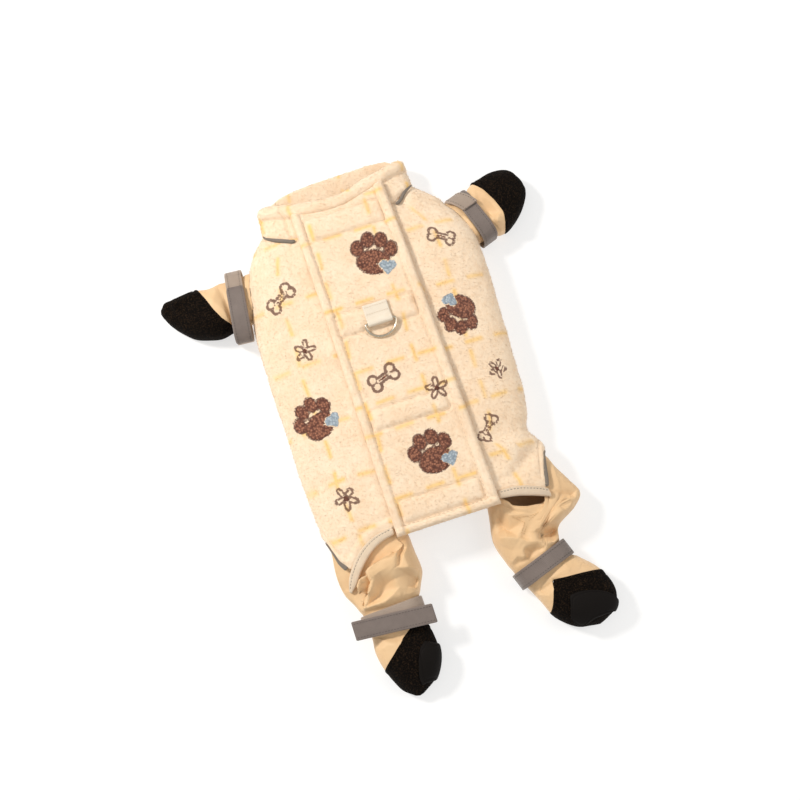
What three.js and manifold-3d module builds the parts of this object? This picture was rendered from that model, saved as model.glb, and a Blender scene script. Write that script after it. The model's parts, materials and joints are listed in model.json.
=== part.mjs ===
// A small dog's fleece jumpsuit, lying on its belly as it is laid out for a photograph.
// Millimetres, +Z up, +Y towards the collar, +X towards the wearer's right as seen from above.
// The origin is on the surface under the middle of the body.
import * as THREE from 'three';
import { mergeVertices } from 'three/addons/utils/BufferGeometryUtils.js';
import Module from 'manifold-3d';

const wasm = await Module();
wasm.setup();

// Driving sizes of the fleece body
const bodyLength = 250;
const bodyHalf = 98;
const bodyTall = 40;
const fleeceWall = 2.6;
const seamGap = 0.4;
const tuckRoom = 0.9;

// Collar: a padded double band
const collarDepth = 27;
const collarWall = 5;
const rimSwell = 2.2;

// Placket panel down the back
const panelHalf = 39.5;
const panelBase = 2.2;
const panelHem = 3.2;
const panelPad = 2.8;

// Piping and binding
const pipingWide = 3.6;
const pipingTall = 1.6;
const bindingTall = 1.2;

// D-ring and its webbing tab
const ringWide = 26;
const ringDeep = 14;
const wire = 2.2;
const wireCorner = 1.5;
const wireRoom = 0.3;
const tabWide = 19.6;
const tabLong = 15;
const tabPly = 1.2;

// Sleeves, legs and boots
const clothWall = 1.3;
const sleeveLength = 80;
const sleeveHalf = 24;
const sleeveTall = 26;
const legLength = 152;
const legHalf = 31;
const legTall = 34;
const solePly = 1.1;

// Straps round the limbs
const strapWide = 13;
const strapPly = 1.3;
const loopSlack = 0.3;

// Section exponents: how square a lying tube is above and below its widest line
const squareTop = 2.7;
const squareUnder = 4;
const waistShare = 0.42;
const flatShare = 1.12;

// The body, from the hem (along < 0) to the collar rim.
// along: share of bodyLength; left, right: shares of bodyHalf; tall: share of bodyTall
const bodySections = [
  { along: -0.70, left: 0.93, right: 0.92, tall: 0.80 },
  { along: -0.56, left: 0.944, right: 0.934, tall: 0.90 },
  { along: -0.48, left: 0.959, right: 0.918, tall: 0.94 },
  { along: -0.40, left: 0.974, right: 0.888, tall: 0.96 },
  { along: -0.352, left: 0.98, right: 0.815, tall: 0.97 },
  { along: -0.30, left: 0.985, right: 0.857, tall: 0.98 },
  { along: -0.20, left: 0.99, right: 0.898, tall: 1 },
  { along: 0, left: 1, right: 0.929, tall: 1 },
  { along: 0.18, left: 1, right: 0.949, tall: 1 },
  { along: 0.28, left: 0.969, right: 0.954, tall: 0.99 },
  { along: 0.34, left: 0.949, right: 0.934, tall: 0.98 },
  { along: 0.388, left: 0.898, right: 0.867, tall: 0.96 },
  { along: 0.416, left: 0.862, right: 0.806, tall: 0.94 },
  { along: 0.448, left: 0.816, right: 0.765, tall: 0.92 },
  { along: 0.472, left: 0.765, right: 0.704, tall: 0.90 },
  { along: 0.496, left: 0.709, right: 0.638, tall: 0.88 },
  { along: 0.52, left: 0.699, right: 0.597, tall: 0.86 },
  { along: 0.56, left: 0.694, right: 0.582, tall: 0.82 },
  { along: 0.60, left: 0.673, right: 0.571, tall: 0.77 },
  { along: 0.64, left: 0.612, right: 0.551, tall: 0.72 },
];

// Dents and swells of the body's top.
// across: share of bodyHalf; along, long, wide: shares of bodyLength; lift: share of bodyTall
const bodyDents = [
  { across: -0.76, along: 0.08, long: 0.09, wide: 0.028, turn: 80, lift: -0.04 },
  { across: -0.86, along: -0.32, long: 0.07, wide: 0.032, turn: 75, lift: -0.045 },
  { across: 0.74, along: -0.436, long: 0.08, wide: 0.022, turn: 32, lift: -0.1 },
  { across: 0.70, along: -0.375, long: 0.06, wide: 0.036, turn: 25, lift: 0.06 },
  { across: 0.52, along: -0.42, long: 0.05, wide: 0.03, turn: 20, lift: -0.03 },
];

// The seam between body and collar, seen from above, and under the belly.
// across: share of the local half width; along: share of bodyLength
const seamTop = [
  { across: -1, along: 0.498 },
  { across: -0.93, along: 0.482 },
  { across: -0.76, along: 0.466 },
  { across: -0.57, along: 0.446 },
  { across: 0, along: 0.444 },
  { across: 0.57, along: 0.472 },
  { across: 0.74, along: 0.492 },
  { across: 1, along: 0.515 },
];
const seamUnder = [
  { across: -1, along: 0.498 },
  { across: 0, along: 0.485 },
  { across: 1, along: 0.515 },
];

// The fleece's rear edge: hem, then up along the hip piping to each side; and the belly's edge.
const hemTop = [
  { across: -1, along: -0.476 },
  { across: -0.98, along: -0.50 },
  { across: -0.94, along: -0.556 },
  { across: -0.885, along: -0.588 },
  { across: -0.83, along: -0.576 },
  { across: -0.77, along: -0.554 },
  { across: -0.67, along: -0.532 },
  { across: -0.57, along: -0.518 },
  { across: -0.44, along: -0.512 },
  { across: 0, along: -0.524 },
  { across: 0.43, along: -0.506 },
  { across: 0.60, along: -0.508 },
  { across: 0.71, along: -0.52 },
  { across: 0.84, along: -0.538 },
  { across: 0.90, along: -0.48 },
  { across: 0.955, along: -0.436 },
  { across: 1, along: -0.42 },
];
const hemUnder = [
  { across: -1, along: -0.476 },
  { across: -0.8, along: -0.40 },
  { across: 0, along: -0.388 },
  { across: 0.8, along: -0.40 },
  { across: 1, along: -0.42 },
];

// Where the fleece and its binding lie over the legs, further out than hemTop by the binding
const coverTop = [
  { across: -1, along: -0.476 },
  { across: -0.985, along: -0.50 },
  { across: -0.965, along: -0.69 },
  { across: -0.90, along: -0.69 },
  { across: -0.77, along: -0.635 },
  { across: -0.60, along: -0.585 },
  { across: -0.40, along: -0.556 },
  { across: 0, along: -0.556 },
  { across: 0.40, along: -0.54 },
  { across: 0.60, along: -0.554 },
  { across: 0.80, along: -0.59 },
  { across: 0.88, along: -0.585 },
  { across: 0.92, along: -0.48 },
  { across: 1, along: -0.42 },
];

// The rim of the collar: upper layer, and the under layer that reaches further out.
// across: share of the local half width; ahead: share of collarDepth from the neck line
const neckLine = 0.498;
const rimTop = [
  { across: -1, ahead: 0.889 },
  { across: -0.89, ahead: 0.833 },
  { across: -0.73, ahead: 0.722 },
  { across: -0.57, ahead: 0.593 },
  { across: -0.41, ahead: 0.537 },
  { across: -0.24, ahead: 0.481 },
  { across: -0.08, ahead: 0.444 },
  { across: 0.08, ahead: 0.463 },
  { across: 0.21, ahead: 0.537 },
  { across: 0.325, ahead: 0.648 },
  { across: 0.44, ahead: 0.741 },
  { across: 0.57, ahead: 0.796 },
  { across: 0.76, ahead: 0.889 },
  { across: 1, ahead: 0.944 },
];
const rimUnder = [
  { across: -1, ahead: 0.889 },
  { across: -0.8, ahead: 1.0 },
  { across: -0.6, ahead: 1.04 },
  { across: -0.3, ahead: 1.08 },
  { across: 0, ahead: 1.12 },
  { across: 0.3, ahead: 1.14 },
  { across: 0.6, ahead: 1.15 },
  { across: 0.85, ahead: 1.11 },
  { across: 1, ahead: 0.944 },
];
// up: share of the way from seam to rim; swell: share of rimSwell above, tuck: share of collarWall
const collarRoll = [
  { up: 0, swell: 0, tuck: 0 },
  { up: 0.66, swell: 0, tuck: 0 },
  { up: 0.78, swell: 0.8, tuck: 0.05 },
  { up: 0.9, swell: 1, tuck: 0.05 },
  { up: 0.98, swell: 0.3, tuck: -0.1 },
  { up: 1, swell: -0.5, tuck: -0.25 },
];

// The placket panel: its upper edge under the rim roll, its columns and its rows.
// across: share from the left edge to the right one; ahead: share of collarDepth from the neck line
const panelHead = [
  { across: 0, ahead: 0.20 },
  { across: 0.17, ahead: 0.12 },
  { across: 0.30, ahead: 0.06 },
  { across: 0.42, ahead: 0.05 },
  { across: 0.55, ahead: 0.08 },
  { across: 0.67, ahead: 0.16 },
  { across: 0.78, ahead: 0.26 },
  { across: 1, ahead: 0.38 },
];
const panelEdges = [
  { along: -0.55, left: -0.42, right: 0.408 },
  { along: -0.2, left: -0.425, right: 0.39 },
  { along: 0.2, left: -0.43, right: 0.37 },
  { along: 0.4, left: -0.44, right: 0.36 },
  { along: 0.58, left: -0.445, right: 0.352 },
];
const panelColumns = [
  { across: 0, ply: 'edge', box: 0 },
  { across: 0.015, ply: 'hem', box: 0 },
  { across: 0.075, ply: 'hem', box: 0 },
  { across: 0.095, ply: 'base', box: 0 },
  { across: 0.125, ply: 'base', box: 1 },
  { across: 0.5, ply: 'base', box: 1 },
  { across: 0.86, ply: 'base', box: 1 },
  { across: 0.885, ply: 'base', box: 0 },
  { across: 0.905, ply: 'hem', box: 0 },
  { across: 0.985, ply: 'hem', box: 0 },
  { across: 1, ply: 'edge', box: 0 },
];
// The four quilted boxes, as shares of bodyLength
const panelBoxes = [
  { from: 0.404, to: 0.474 },
  { from: 0.076, to: 0.152 },
  { from: -0.232, to: -0.166 },
  { from: -0.52, to: -0.452 },
];
const panelEnd = -0.548;

// Bindings of the rear opening: inner and outer edge, x as shares of bodyHalf, y of bodyLength
const bindingLeft = [
  { inX: -0.452, inY: -0.514, outX: -0.45, outY: -0.538 },
  { inX: -0.56, inY: -0.521, outX: -0.54, outY: -0.546 },
  { inX: -0.655, inY: -0.535, outX: -0.625, outY: -0.562 },
  { inX: -0.745, inY: -0.559, outX: -0.70, outY: -0.586 },
  { inX: -0.815, inY: -0.590, outX: -0.765, outY: -0.614 },
  { inX: -0.862, inY: -0.618, outX: -0.815, outY: -0.640 },
  { inX: -0.885, inY: -0.645, outX: -0.86, outY: -0.655 },
];
const bindingRight = [
  { inX: 0.43, inY: -0.510, outX: 0.42, outY: -0.533 },
  { inX: 0.56, inY: -0.512, outX: 0.55, outY: -0.541 },
  { inX: 0.66, inY: -0.522, outX: 0.65, outY: -0.552 },
  { inX: 0.745, inY: -0.5345, outX: 0.735, outY: -0.563 },
  { inX: 0.79, inY: -0.5445, outX: 0.79, outY: -0.571 },
];

// Hip piping: from the side to the hem, beside the fleece edge
const hipPipingLeft = { from: -0.99, to: -0.90, outward: -1 };
const hipPipingRight = { from: 0.985, to: 0.865, outward: 1 };
// Collar piping over the seam, from the side towards the panel
const collarPipingLeft = { from: -0.975, to: -0.585 };
const collarPipingRight = { from: 0.90, to: 0.555 };

// A limb is a lying tube. Its root sits on the body and it heads at an angle; each row of its
// table is a section. ahead: share of its length; aside, wide: shares of its half width;
// tall: share of its height; lift: share of its height; turn: degrees from its heading.
// root and border give where its cloth starts and where its boot starts, by place across it.
const sleeveLeft = {
  at: { across: -0.85, along: 0.324 },
  heading: 180,
  length: sleeveLength,
  half: sleeveHalf,
  height: sleeveTall,
  sections: [
    { ahead: 0, aside: 0, wide: 0.80, tall: 0.92, lift: 0.14, turn: -15 },
    { ahead: 0.12, aside: 0.03, wide: 0.82, tall: 0.96, lift: 0.10, turn: -10 },
    { ahead: 0.26, aside: 0.05, wide: 0.83, tall: 0.92, lift: 0.08, turn: -4 },
    { ahead: 0.36, aside: 0.06, wide: 0.83, tall: 0.90, lift: 0.07, turn: 0 },
    { ahead: 0.50, aside: 0.13, wide: 0.84, tall: 0.92, lift: 0, turn: 0 },
    { ahead: 0.63, aside: 0.04, wide: 0.84, tall: 0.90, lift: 0, turn: 0 },
    { ahead: 0.76, aside: -0.04, wide: 0.74, tall: 0.82, lift: 0, turn: 0 },
    { ahead: 0.87, aside: -0.20, wide: 0.55, tall: 0.70, lift: 0, turn: 0 },
    { ahead: 0.95, aside: -0.37, wide: 0.36, tall: 0.56, lift: 0.02, turn: 0 },
    { ahead: 1, aside: -0.46, wide: 0.12, tall: 0.36, lift: 0.12, turn: 0 },
  ],
  root: [{ across: -1, ahead: 0 }, { across: 1, ahead: 0 }],
  border: [
    { across: -1, ahead: 0.60 },
    { across: -0.5, ahead: 0.55 },
    { across: 0, ahead: 0.50 },
    { across: 0.5, ahead: 0.44 },
    { across: 1, ahead: 0.35 },
  ],
  folds: [
    { ahead: 0.42, aside: 0.30, long: 0.20, wide: 0.10, turn: 70, lift: 0.05 },
    { ahead: 0.33, aside: -0.10, long: 0.25, wide: 0.09, turn: 95, lift: -0.05 },
    { ahead: 0.47, aside: 0.75, long: 0.16, wide: 0.08, turn: 60, lift: -0.07 },
    { ahead: 0.92, aside: -0.62, long: 0.10, wide: 0.05, turn: 40, lift: -0.10 },
  ],
};
const sleeveRight = {
  at: { across: 0.80, along: 0.356 },
  heading: 0,
  length: sleeveLength,
  half: sleeveHalf,
  height: sleeveTall,
  sections: [
    { ahead: 0, aside: 0, wide: 0.92, tall: 0.92, lift: 0.14, turn: 22 },
    { ahead: 0.15, aside: 0.08, wide: 0.95, tall: 0.98, lift: 0.10, turn: 20 },
    { ahead: 0.28, aside: 0.16, wide: 0.97, tall: 0.98, lift: 0.08, turn: 18 },
    { ahead: 0.42, aside: 0.22, wide: 1.0, tall: 0.98, lift: 0.06, turn: 18 },
    { ahead: 0.56, aside: 0.40, wide: 1.0, tall: 0.96, lift: 0, turn: 20 },
    { ahead: 0.69, aside: 0.58, wide: 0.93, tall: 0.90, lift: 0, turn: 20 },
    { ahead: 0.79, aside: 0.70, wide: 0.76, tall: 0.80, lift: 0, turn: 20 },
    { ahead: 0.855, aside: 0.76, wide: 0.50, tall: 0.66, lift: 0.02, turn: 20 },
    { ahead: 0.89, aside: 0.78, wide: 0.16, tall: 0.42, lift: 0.12, turn: 20 },
  ],
  root: [{ across: -1, ahead: 0 }, { across: 1, ahead: 0 }],
  border: [
    { across: -1, ahead: 0.41 },
    { across: -0.5, ahead: 0.47 },
    { across: 0, ahead: 0.47 },
    { across: 0.5, ahead: 0.45 },
    { across: 1, ahead: 0.41 },
  ],
  folds: [
    { ahead: 0.37, aside: 0.10, long: 0.28, wide: 0.07, turn: 60, lift: -0.07 },
    { ahead: 0.42, aside: -0.40, long: 0.16, wide: 0.06, turn: 0, lift: 0.10 },
    { ahead: 0.40, aside: -0.68, long: 0.16, wide: 0.06, turn: 10, lift: -0.06 },
    { ahead: 0.36, aside: 0.75, long: 0.20, wide: 0.08, turn: 80, lift: 0.05 },
  ],
};
const legLeft = {
  at: { across: -0.633, along: -0.3895 },
  heading: -90,
  length: legLength,
  half: legHalf,
  height: legTall,
  sections: [
    { ahead: 0, aside: 0, wide: 0.84, tall: 0.94, lift: 0, turn: 0 },
    { ahead: 0.15, aside: 0, wide: 0.90, tall: 0.98, lift: 0, turn: 0 },
    { ahead: 0.25, aside: 0, wide: 0.96, tall: 1, lift: 0, turn: 0 },
    { ahead: 0.35, aside: 0, wide: 1.0, tall: 1, lift: 0, turn: 0 },
    { ahead: 0.44, aside: 0.04, wide: 0.98, tall: 0.94, lift: 0, turn: 0 },
    { ahead: 0.51, aside: 0.05, wide: 0.82, tall: 0.82, lift: 0.05, turn: 0 },
    { ahead: 0.58, aside: 0.04, wide: 0.70, tall: 0.72, lift: 0.055, turn: 0 },
    { ahead: 0.67, aside: 0.06, wide: 0.68, tall: 0.70, lift: 0.055, turn: 0 },
    { ahead: 0.75, aside: 0.08, wide: 0.73, tall: 0.72, lift: 0, turn: 0 },
    { ahead: 0.83, aside: 0.12, wide: 0.70, tall: 0.72, lift: 0, turn: 0 },
    { ahead: 0.90, aside: 0.13, wide: 0.57, tall: 0.62, lift: 0, turn: 0 },
    { ahead: 0.96, aside: 0.10, wide: 0.38, tall: 0.46, lift: 0.02, turn: 0 },
    { ahead: 1, aside: 0.06, wide: 0.10, tall: 0.30, lift: 0.12, turn: 0 },
  ],
  root: [
    { across: -1, ahead: 0.03 },
    { across: -0.6, ahead: 0.14 },
    { across: 0.6, ahead: 0.14 },
    { across: 1, ahead: 0.08 },
  ],
  border: [
    { across: -1, ahead: 0.845 },
    { across: -0.5, ahead: 0.79 },
    { across: 0, ahead: 0.73 },
    { across: 0.4, ahead: 0.695 },
    { across: 1, ahead: 0.70 },
  ],
  folds: [
    { ahead: 0.40, aside: 0.55, long: 0.09, wide: 0.05, turn: 80, lift: 0.14 },
    { ahead: 0.46, aside: 0.80, long: 0.13, wide: 0.04, turn: 30, lift: 0.13 },
    { ahead: 0.35, aside: 0.72, long: 0.13, wide: 0.035, turn: -70, lift: 0.10 },
    { ahead: 0.47, aside: 0.10, long: 0.20, wide: 0.085, turn: 75, lift: -0.17 },
    { ahead: 0.52, aside: 0.50, long: 0.10, wide: 0.05, turn: 60, lift: 0.08 },
    { ahead: 0.435, aside: -0.47, long: 0.16, wide: 0.05, turn: 50, lift: 0.10 },
    { ahead: 0.48, aside: -0.62, long: 0.12, wide: 0.04, turn: 48, lift: -0.16 },
    { ahead: 0.46, aside: -0.85, long: 0.15, wide: 0.05, turn: 52, lift: 0.08 },
    { ahead: 0.73, aside: -0.55, long: 0.12, wide: 0.05, turn: 40, lift: -0.08 },
    { ahead: 0.70, aside: -0.10, long: 0.10, wide: 0.05, turn: 55, lift: 0.05 },
  ],
};
const legRight = {
  at: { across: 0.59, along: -0.3895 },
  heading: -90,
  length: legLength,
  half: legHalf,
  height: legTall,
  sections: [
    { ahead: 0, aside: 0, wide: 0.82, tall: 0.94, lift: 0, turn: 0 },
    { ahead: 0.15, aside: 0.13, wide: 0.92, tall: 0.96, lift: 0, turn: 0 },
    { ahead: 0.245, aside: 0.23, wide: 1.06, tall: 0.94, lift: 0, turn: 0 },
    { ahead: 0.32, aside: 0.28, wide: 1.17, tall: 0.88, lift: 0, turn: 0 },
    { ahead: 0.38, aside: 0.12, wide: 1.07, tall: 0.86, lift: 0, turn: 0 },
    { ahead: 0.435, aside: -0.12, wide: 0.84, tall: 0.82, lift: 0, turn: 0 },
    { ahead: 0.51, aside: -0.12, wide: 0.76, tall: 0.76, lift: 0.05, turn: 8 },
    { ahead: 0.60, aside: -0.02, wide: 0.73, tall: 0.72, lift: 0.055, turn: 18 },
    { ahead: 0.685, aside: 0.27, wide: 0.75, tall: 0.72, lift: 0.055, turn: 27 },
    { ahead: 0.77, aside: 0.55, wide: 0.80, tall: 0.74, lift: 0, turn: 26 },
    { ahead: 0.84, aside: 0.74, wide: 0.76, tall: 0.72, lift: 0, turn: 18 },
    { ahead: 0.895, aside: 0.83, wide: 0.62, tall: 0.62, lift: 0, turn: 12 },
    { ahead: 0.93, aside: 0.85, wide: 0.42, tall: 0.50, lift: 0.02, turn: 8 },
    { ahead: 0.95, aside: 0.86, wide: 0.12, tall: 0.32, lift: 0.12, turn: 6 },
  ],
  root: [
    { across: -1, ahead: 0.03 },
    { across: -0.85, ahead: 0.21 },
    { across: -0.70, ahead: 0.235 },
    { across: -0.45, ahead: 0.285 },
    { across: -0.15, ahead: 0.312 },
    { across: 0.12, ahead: 0.322 },
    { across: 0.34, ahead: 0.30 },
    { across: 0.50, ahead: 0.16 },
    { across: 0.75, ahead: 0.08 },
    { across: 1, ahead: 0.03 },
  ],
  border: [
    { across: -1, ahead: 0.76 },
    { across: -0.65, ahead: 0.70 },
    { across: -0.3, ahead: 0.70 },
    { across: 0.3, ahead: 0.74 },
    { across: 1, ahead: 0.78 },
  ],
  folds: [
    { ahead: 0.325, aside: 0.95, long: 0.18, wide: 0.03, turn: 85, lift: -0.16 },
    { ahead: 0.41, aside: -0.05, long: 0.14, wide: 0.045, turn: 12, lift: 0.10 },
    { ahead: 0.35, aside: -0.72, long: 0.12, wide: 0.06, turn: 10, lift: -0.10 },
    { ahead: 0.42, aside: -0.62, long: 0.13, wide: 0.035, turn: 70, lift: 0.11 },
    { ahead: 0.455, aside: 0.32, long: 0.12, wide: 0.045, turn: 75, lift: -0.18 },
    { ahead: 0.49, aside: -0.22, long: 0.09, wide: 0.04, turn: 20, lift: -0.14 },
    { ahead: 0.385, aside: 0.65, long: 0.16, wide: 0.05, turn: 60, lift: 0.09 },
    { ahead: 0.51, aside: 0.05, long: 0.10, wide: 0.04, turn: 70, lift: 0.07 },
    { ahead: 0.69, aside: 0.10, long: 0.12, wide: 0.045, turn: 60, lift: -0.07 },
    { ahead: 0.70, aside: 0.62, long: 0.12, wide: 0.045, turn: 70, lift: 0.06 },
  ],
};

// Grid sizes
const bodyColumns = 34;
const bodyRows = 14;
const limbColumns = 20;
const sleeveRows = 5;
const legRows = 16;
const bootRows = 6;
const loopColumns = 20;
const soleCells = 6;

// Interpolates a column of a table smoothly, with slopes taken from the neighbours
function smoothAt(table, key, column, t) {
  const last = table.length - 1;
  if (t <= table[0][key]) return table[0][column];
  if (t >= table[last][key]) return table[last][column];
  let i = 0;
  while (t > table[i + 1][key]) i += 1;
  const slope = (k) => {
    const a = Math.max(k - 1, 0);
    const b = Math.min(k + 1, last);
    return (table[b][column] - table[a][column]) / (table[b][key] - table[a][key]);
  };
  const span = table[i + 1][key] - table[i][key];
  const u = (t - table[i][key]) / span;
  const a = table[i][column];
  const b = table[i + 1][column];
  const u2 = u * u;
  const u3 = u2 * u;
  return a * (2 * u3 - 3 * u2 + 1) + b * (3 * u2 - 2 * u3)
    + span * (slope(i) * (u3 - 2 * u2 + u) + slope(i + 1) * (u3 - u2));
}

function linearAt(table, key, column, t) {
  const last = table.length - 1;
  if (t <= table[0][key]) return table[0][column];
  if (t >= table[last][key]) return table[last][column];
  let i = 0;
  while (t > table[i + 1][key]) i += 1;
  const u = (t - table[i][key]) / (table[i + 1][key] - table[i][key]);
  return table[i][column] * (1 - u) + table[i + 1][column] * u;
}

const mix = (a, b, t) => a + (b - a) * t;
const clamp = (v, lo, hi) => Math.min(Math.max(v, lo), hi);
const ease = (lo, hi, v) => {
  const t = clamp((v - lo) / (hi - lo), 0, 1);
  return t * t * (3 - 2 * t);
};
const radians = (degrees) => degrees * Math.PI / 180;
const bent = (v, power) => Math.sign(v) * Math.abs(v) ** power;

// A soft oval dent or ridge, seen from above, turned by its own angle
function mound(dx, dy, long, wide, turn) {
  const c = Math.cos(radians(turn));
  const s = Math.sin(radians(turn));
  const u = (dx * c + dy * s) / long;
  const v = (dy * c - dx * s) / wide;
  return Math.exp(-(u * u + v * v));
}

function bodyDent(x, y) {
  let lift = 0;
  for (const d of bodyDents) {
    const m = mound(x - d.across * bodyHalf, y - d.along * bodyLength,
      d.long * bodyLength, d.wide * bodyLength, d.turn);
    lift += d.lift * bodyTall * m;
  }
  return lift;
}

function bodySection(y) {
  const t = y / bodyLength;
  const left = smoothAt(bodySections, 'along', 'left', t) * bodyHalf;
  const right = smoothAt(bodySections, 'along', 'right', t) * bodyHalf;
  const tall = smoothAt(bodySections, 'along', 'tall', t) * bodyTall;
  return { middle: (right - left) / 2, half: (right + left) / 2, tall, waist: waistShare * tall };
}

// A point of the body's skin at angle a round the section at y, grown outwards
function bodyPoint(a, y, grow) {
  const s = bodySection(y);
  const c = Math.cos(a);
  const n = Math.sin(a);
  const power = 2 / (n >= 0 ? squareTop : squareUnder);
  const x = s.middle + (s.half + grow) * bent(c, power);
  if (n >= 0) {
    const lift = (s.tall - s.waist + grow + bodyDent(x, y)) * Math.abs(n) ** power;
    return new THREE.Vector3(x, y, s.waist + lift);
  }
  const drop = (s.waist * flatShare + grow) * Math.abs(n) ** power;
  return new THREE.Vector3(x, y, Math.max(s.waist - drop, Math.max(0, -grow)));
}

// The height of the body's top at x, y
function bodyTop(x, y, grow) {
  const s = bodySection(y);
  const u = clamp(Math.abs(x - s.middle) / (s.half + grow), 0, 1);
  const rise = (1 - u ** squareTop) ** (1 / squareTop);
  return s.waist + (s.tall - s.waist + grow + bodyDent(x, y)) * rise;
}

// Reads a pair of tables by angle: the upper one above, the under one below
function byAngle(upper, under, column, a) {
  const n = Math.sin(a);
  const power = 2 / (n >= 0 ? squareTop : squareUnder);
  return linearAt(n >= 0 ? upper : under, 'across', column, bent(Math.cos(a), power));
}

const seamAt = (a) => byAngle(seamTop, seamUnder, 'along', a) * bodyLength;
const hemAt = (a) => byAngle(hemTop, hemUnder, 'along', a) * bodyLength;
const coverAt = (a) => byAngle(coverTop, hemUnder, 'along', a) * bodyLength;
function rimAt(a) {
  const n = Math.sin(a);
  const upper = byAngle(rimTop, rimTop, 'ahead', Math.abs(a > Math.PI ? 2 * Math.PI - a : a));
  const c = bent(Math.cos(a), 2 / (n >= 0 ? squareTop : squareUnder));
  const under = linearAt(rimUnder, 'across', 'ahead', c);
  return neckLine * bodyLength + collarDepth * mix(under, upper, ease(-0.5, 0.6, n));
}

// Pulls a point of a leg in under the fleece where the fleece and its binding cover it
function tuckUnder(p, grow) {
  const s = bodySection(p.y);
  const up = p.z >= s.waist;
  const e = up ? squareTop : squareUnder;
  const room = fleeceWall + tuckRoom - Math.min(grow, 0);
  const half = s.half - room;
  const reach = s.waist - room + (up ? s.tall - 2 * s.waist + bodyDent(p.x, p.y) : 0);
  const u = (p.x - s.middle) / half;
  const v = (p.z - s.waist) / reach;
  const size = (Math.abs(u) ** e + Math.abs(v) ** e) ** (1 / e);
  if (size <= 1) return p;
  const a = Math.atan2(bent(v, e / 2), bent(u, e / 2));
  const covered = ease(-9, -1.5, p.y - coverAt(a < 0 ? a + 2 * Math.PI : a));
  const held = new THREE.Vector3(mix(s.middle, p.x, 1 / size), p.y, mix(s.waist, p.z, 1 / size));
  return p.clone().lerp(held, covered);
}

// The station of a limb: where a section stands and which way it faces
function limbStation(limb, ahead) {
  const read = (column) => smoothAt(limb.sections, 'ahead', column, ahead);
  const heading = radians(limb.heading);
  const turn = radians(limb.heading + read('turn'));
  const main = new THREE.Vector3(Math.cos(heading), Math.sin(heading), 0);
  const off = new THREE.Vector3(-Math.sin(heading), Math.cos(heading), 0);
  const centre = new THREE.Vector3(limb.at.across * bodyHalf, limb.at.along * bodyLength, 0)
    .addScaledVector(main, ahead * limb.length)
    .addScaledVector(off, read('aside') * limb.half);
  return {
    centre,
    forward: new THREE.Vector3(Math.cos(turn), Math.sin(turn), 0),
    side: new THREE.Vector3(-Math.sin(turn), Math.cos(turn), 0),
    half: read('wide') * limb.half,
    tall: read('tall') * limb.height,
    lift: Math.max(read('lift'), 0) * limb.height,
  };
}

function limbFold(limb, ahead, aside) {
  let lift = 0;
  for (const f of limb.folds) {
    const dx = (ahead - f.ahead) * limb.length;
    const dy = (aside - f.aside) * limb.half;
    lift += f.lift * limb.height * mound(dx, dy, f.long * limb.length, f.wide * limb.length, f.turn);
  }
  return lift;
}

// A point of a limb's skin, grown outwards
function limbPoint(limb, ahead, a, grow) {
  const s = limbStation(limb, ahead);
  const fade = Math.min(1, s.half / (0.5 * limb.half));
  const c = Math.cos(a);
  const n = Math.sin(a);
  const power = 2 / (n >= 0 ? squareTop : squareUnder);
  const across = (s.half + grow * fade) * bent(c, power);
  const p = s.centre.clone().addScaledVector(s.side, across);
  p.addScaledVector(s.forward, grow * ease(0.8, 1, ahead));
  const waist = s.lift + waistShare * (s.tall - s.lift);
  if (n >= 0) {
    const up = (s.tall - waist + grow * fade) * Math.abs(n) ** power;
    const middle = smoothAt(limb.sections, 'ahead', 'aside', ahead);
    const fold = limbFold(limb, ahead, middle + across / limb.half);
    p.z = waist + up + fold * ease(0.15, 0.75, n) * fade;
  } else {
    const drop = ((waist - s.lift) * flatShare + grow * fade) * Math.abs(n) ** power;
    const floor = s.lift - grow * fade;
    p.z = Math.max(waist - drop, Math.max(0, floor));
  }
  return limb.tucked ? tuckUnder(p, grow) : p;
}

const limbEdge = (table, a) => {
  const n = Math.sin(a);
  const power = 2 / (n >= 0 ? squareTop : squareUnder);
  return linearAt(table, 'across', 'ahead', bent(Math.cos(a), power));
};
function rootAt(limb, a) {
  const under = limb.rootUnder ?? 0;
  return mix(under, limbEdge(limb.root, a), ease(0, 0.45, Math.sin(a)));
}

// Makes a geometry from points and triangles, merges what coincides and turns it outwards
function bodyOf(points, triangles) {
  const flat = new Float32Array(points.length * 3);
  points.forEach((p, i) => p.toArray(flat, i * 3));
  const raw = new THREE.BufferGeometry();
  raw.setAttribute('position', new THREE.BufferAttribute(flat, 3));
  raw.setIndex(triangles.flat());
  const merged = mergeVertices(raw, 0.002);
  const index = merged.getIndex().array;
  const pos = merged.getAttribute('position').array;
  const kept = [];
  let volume = 0;
  for (let i = 0; i < index.length; i += 3) {
    const [a, b, c] = [index[i], index[i + 1], index[i + 2]];
    if (a === b || b === c || c === a) continue;
    kept.push(a, b, c);
    const va = new THREE.Vector3().fromArray(pos, a * 3);
    const vb = new THREE.Vector3().fromArray(pos, b * 3);
    const vc = new THREE.Vector3().fromArray(pos, c * 3);
    volume += va.dot(vb.cross(vc)) / 6;
  }
  if (volume < 0) kept.reverse();
  merged.setIndex(kept);
  return merged;
}

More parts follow.
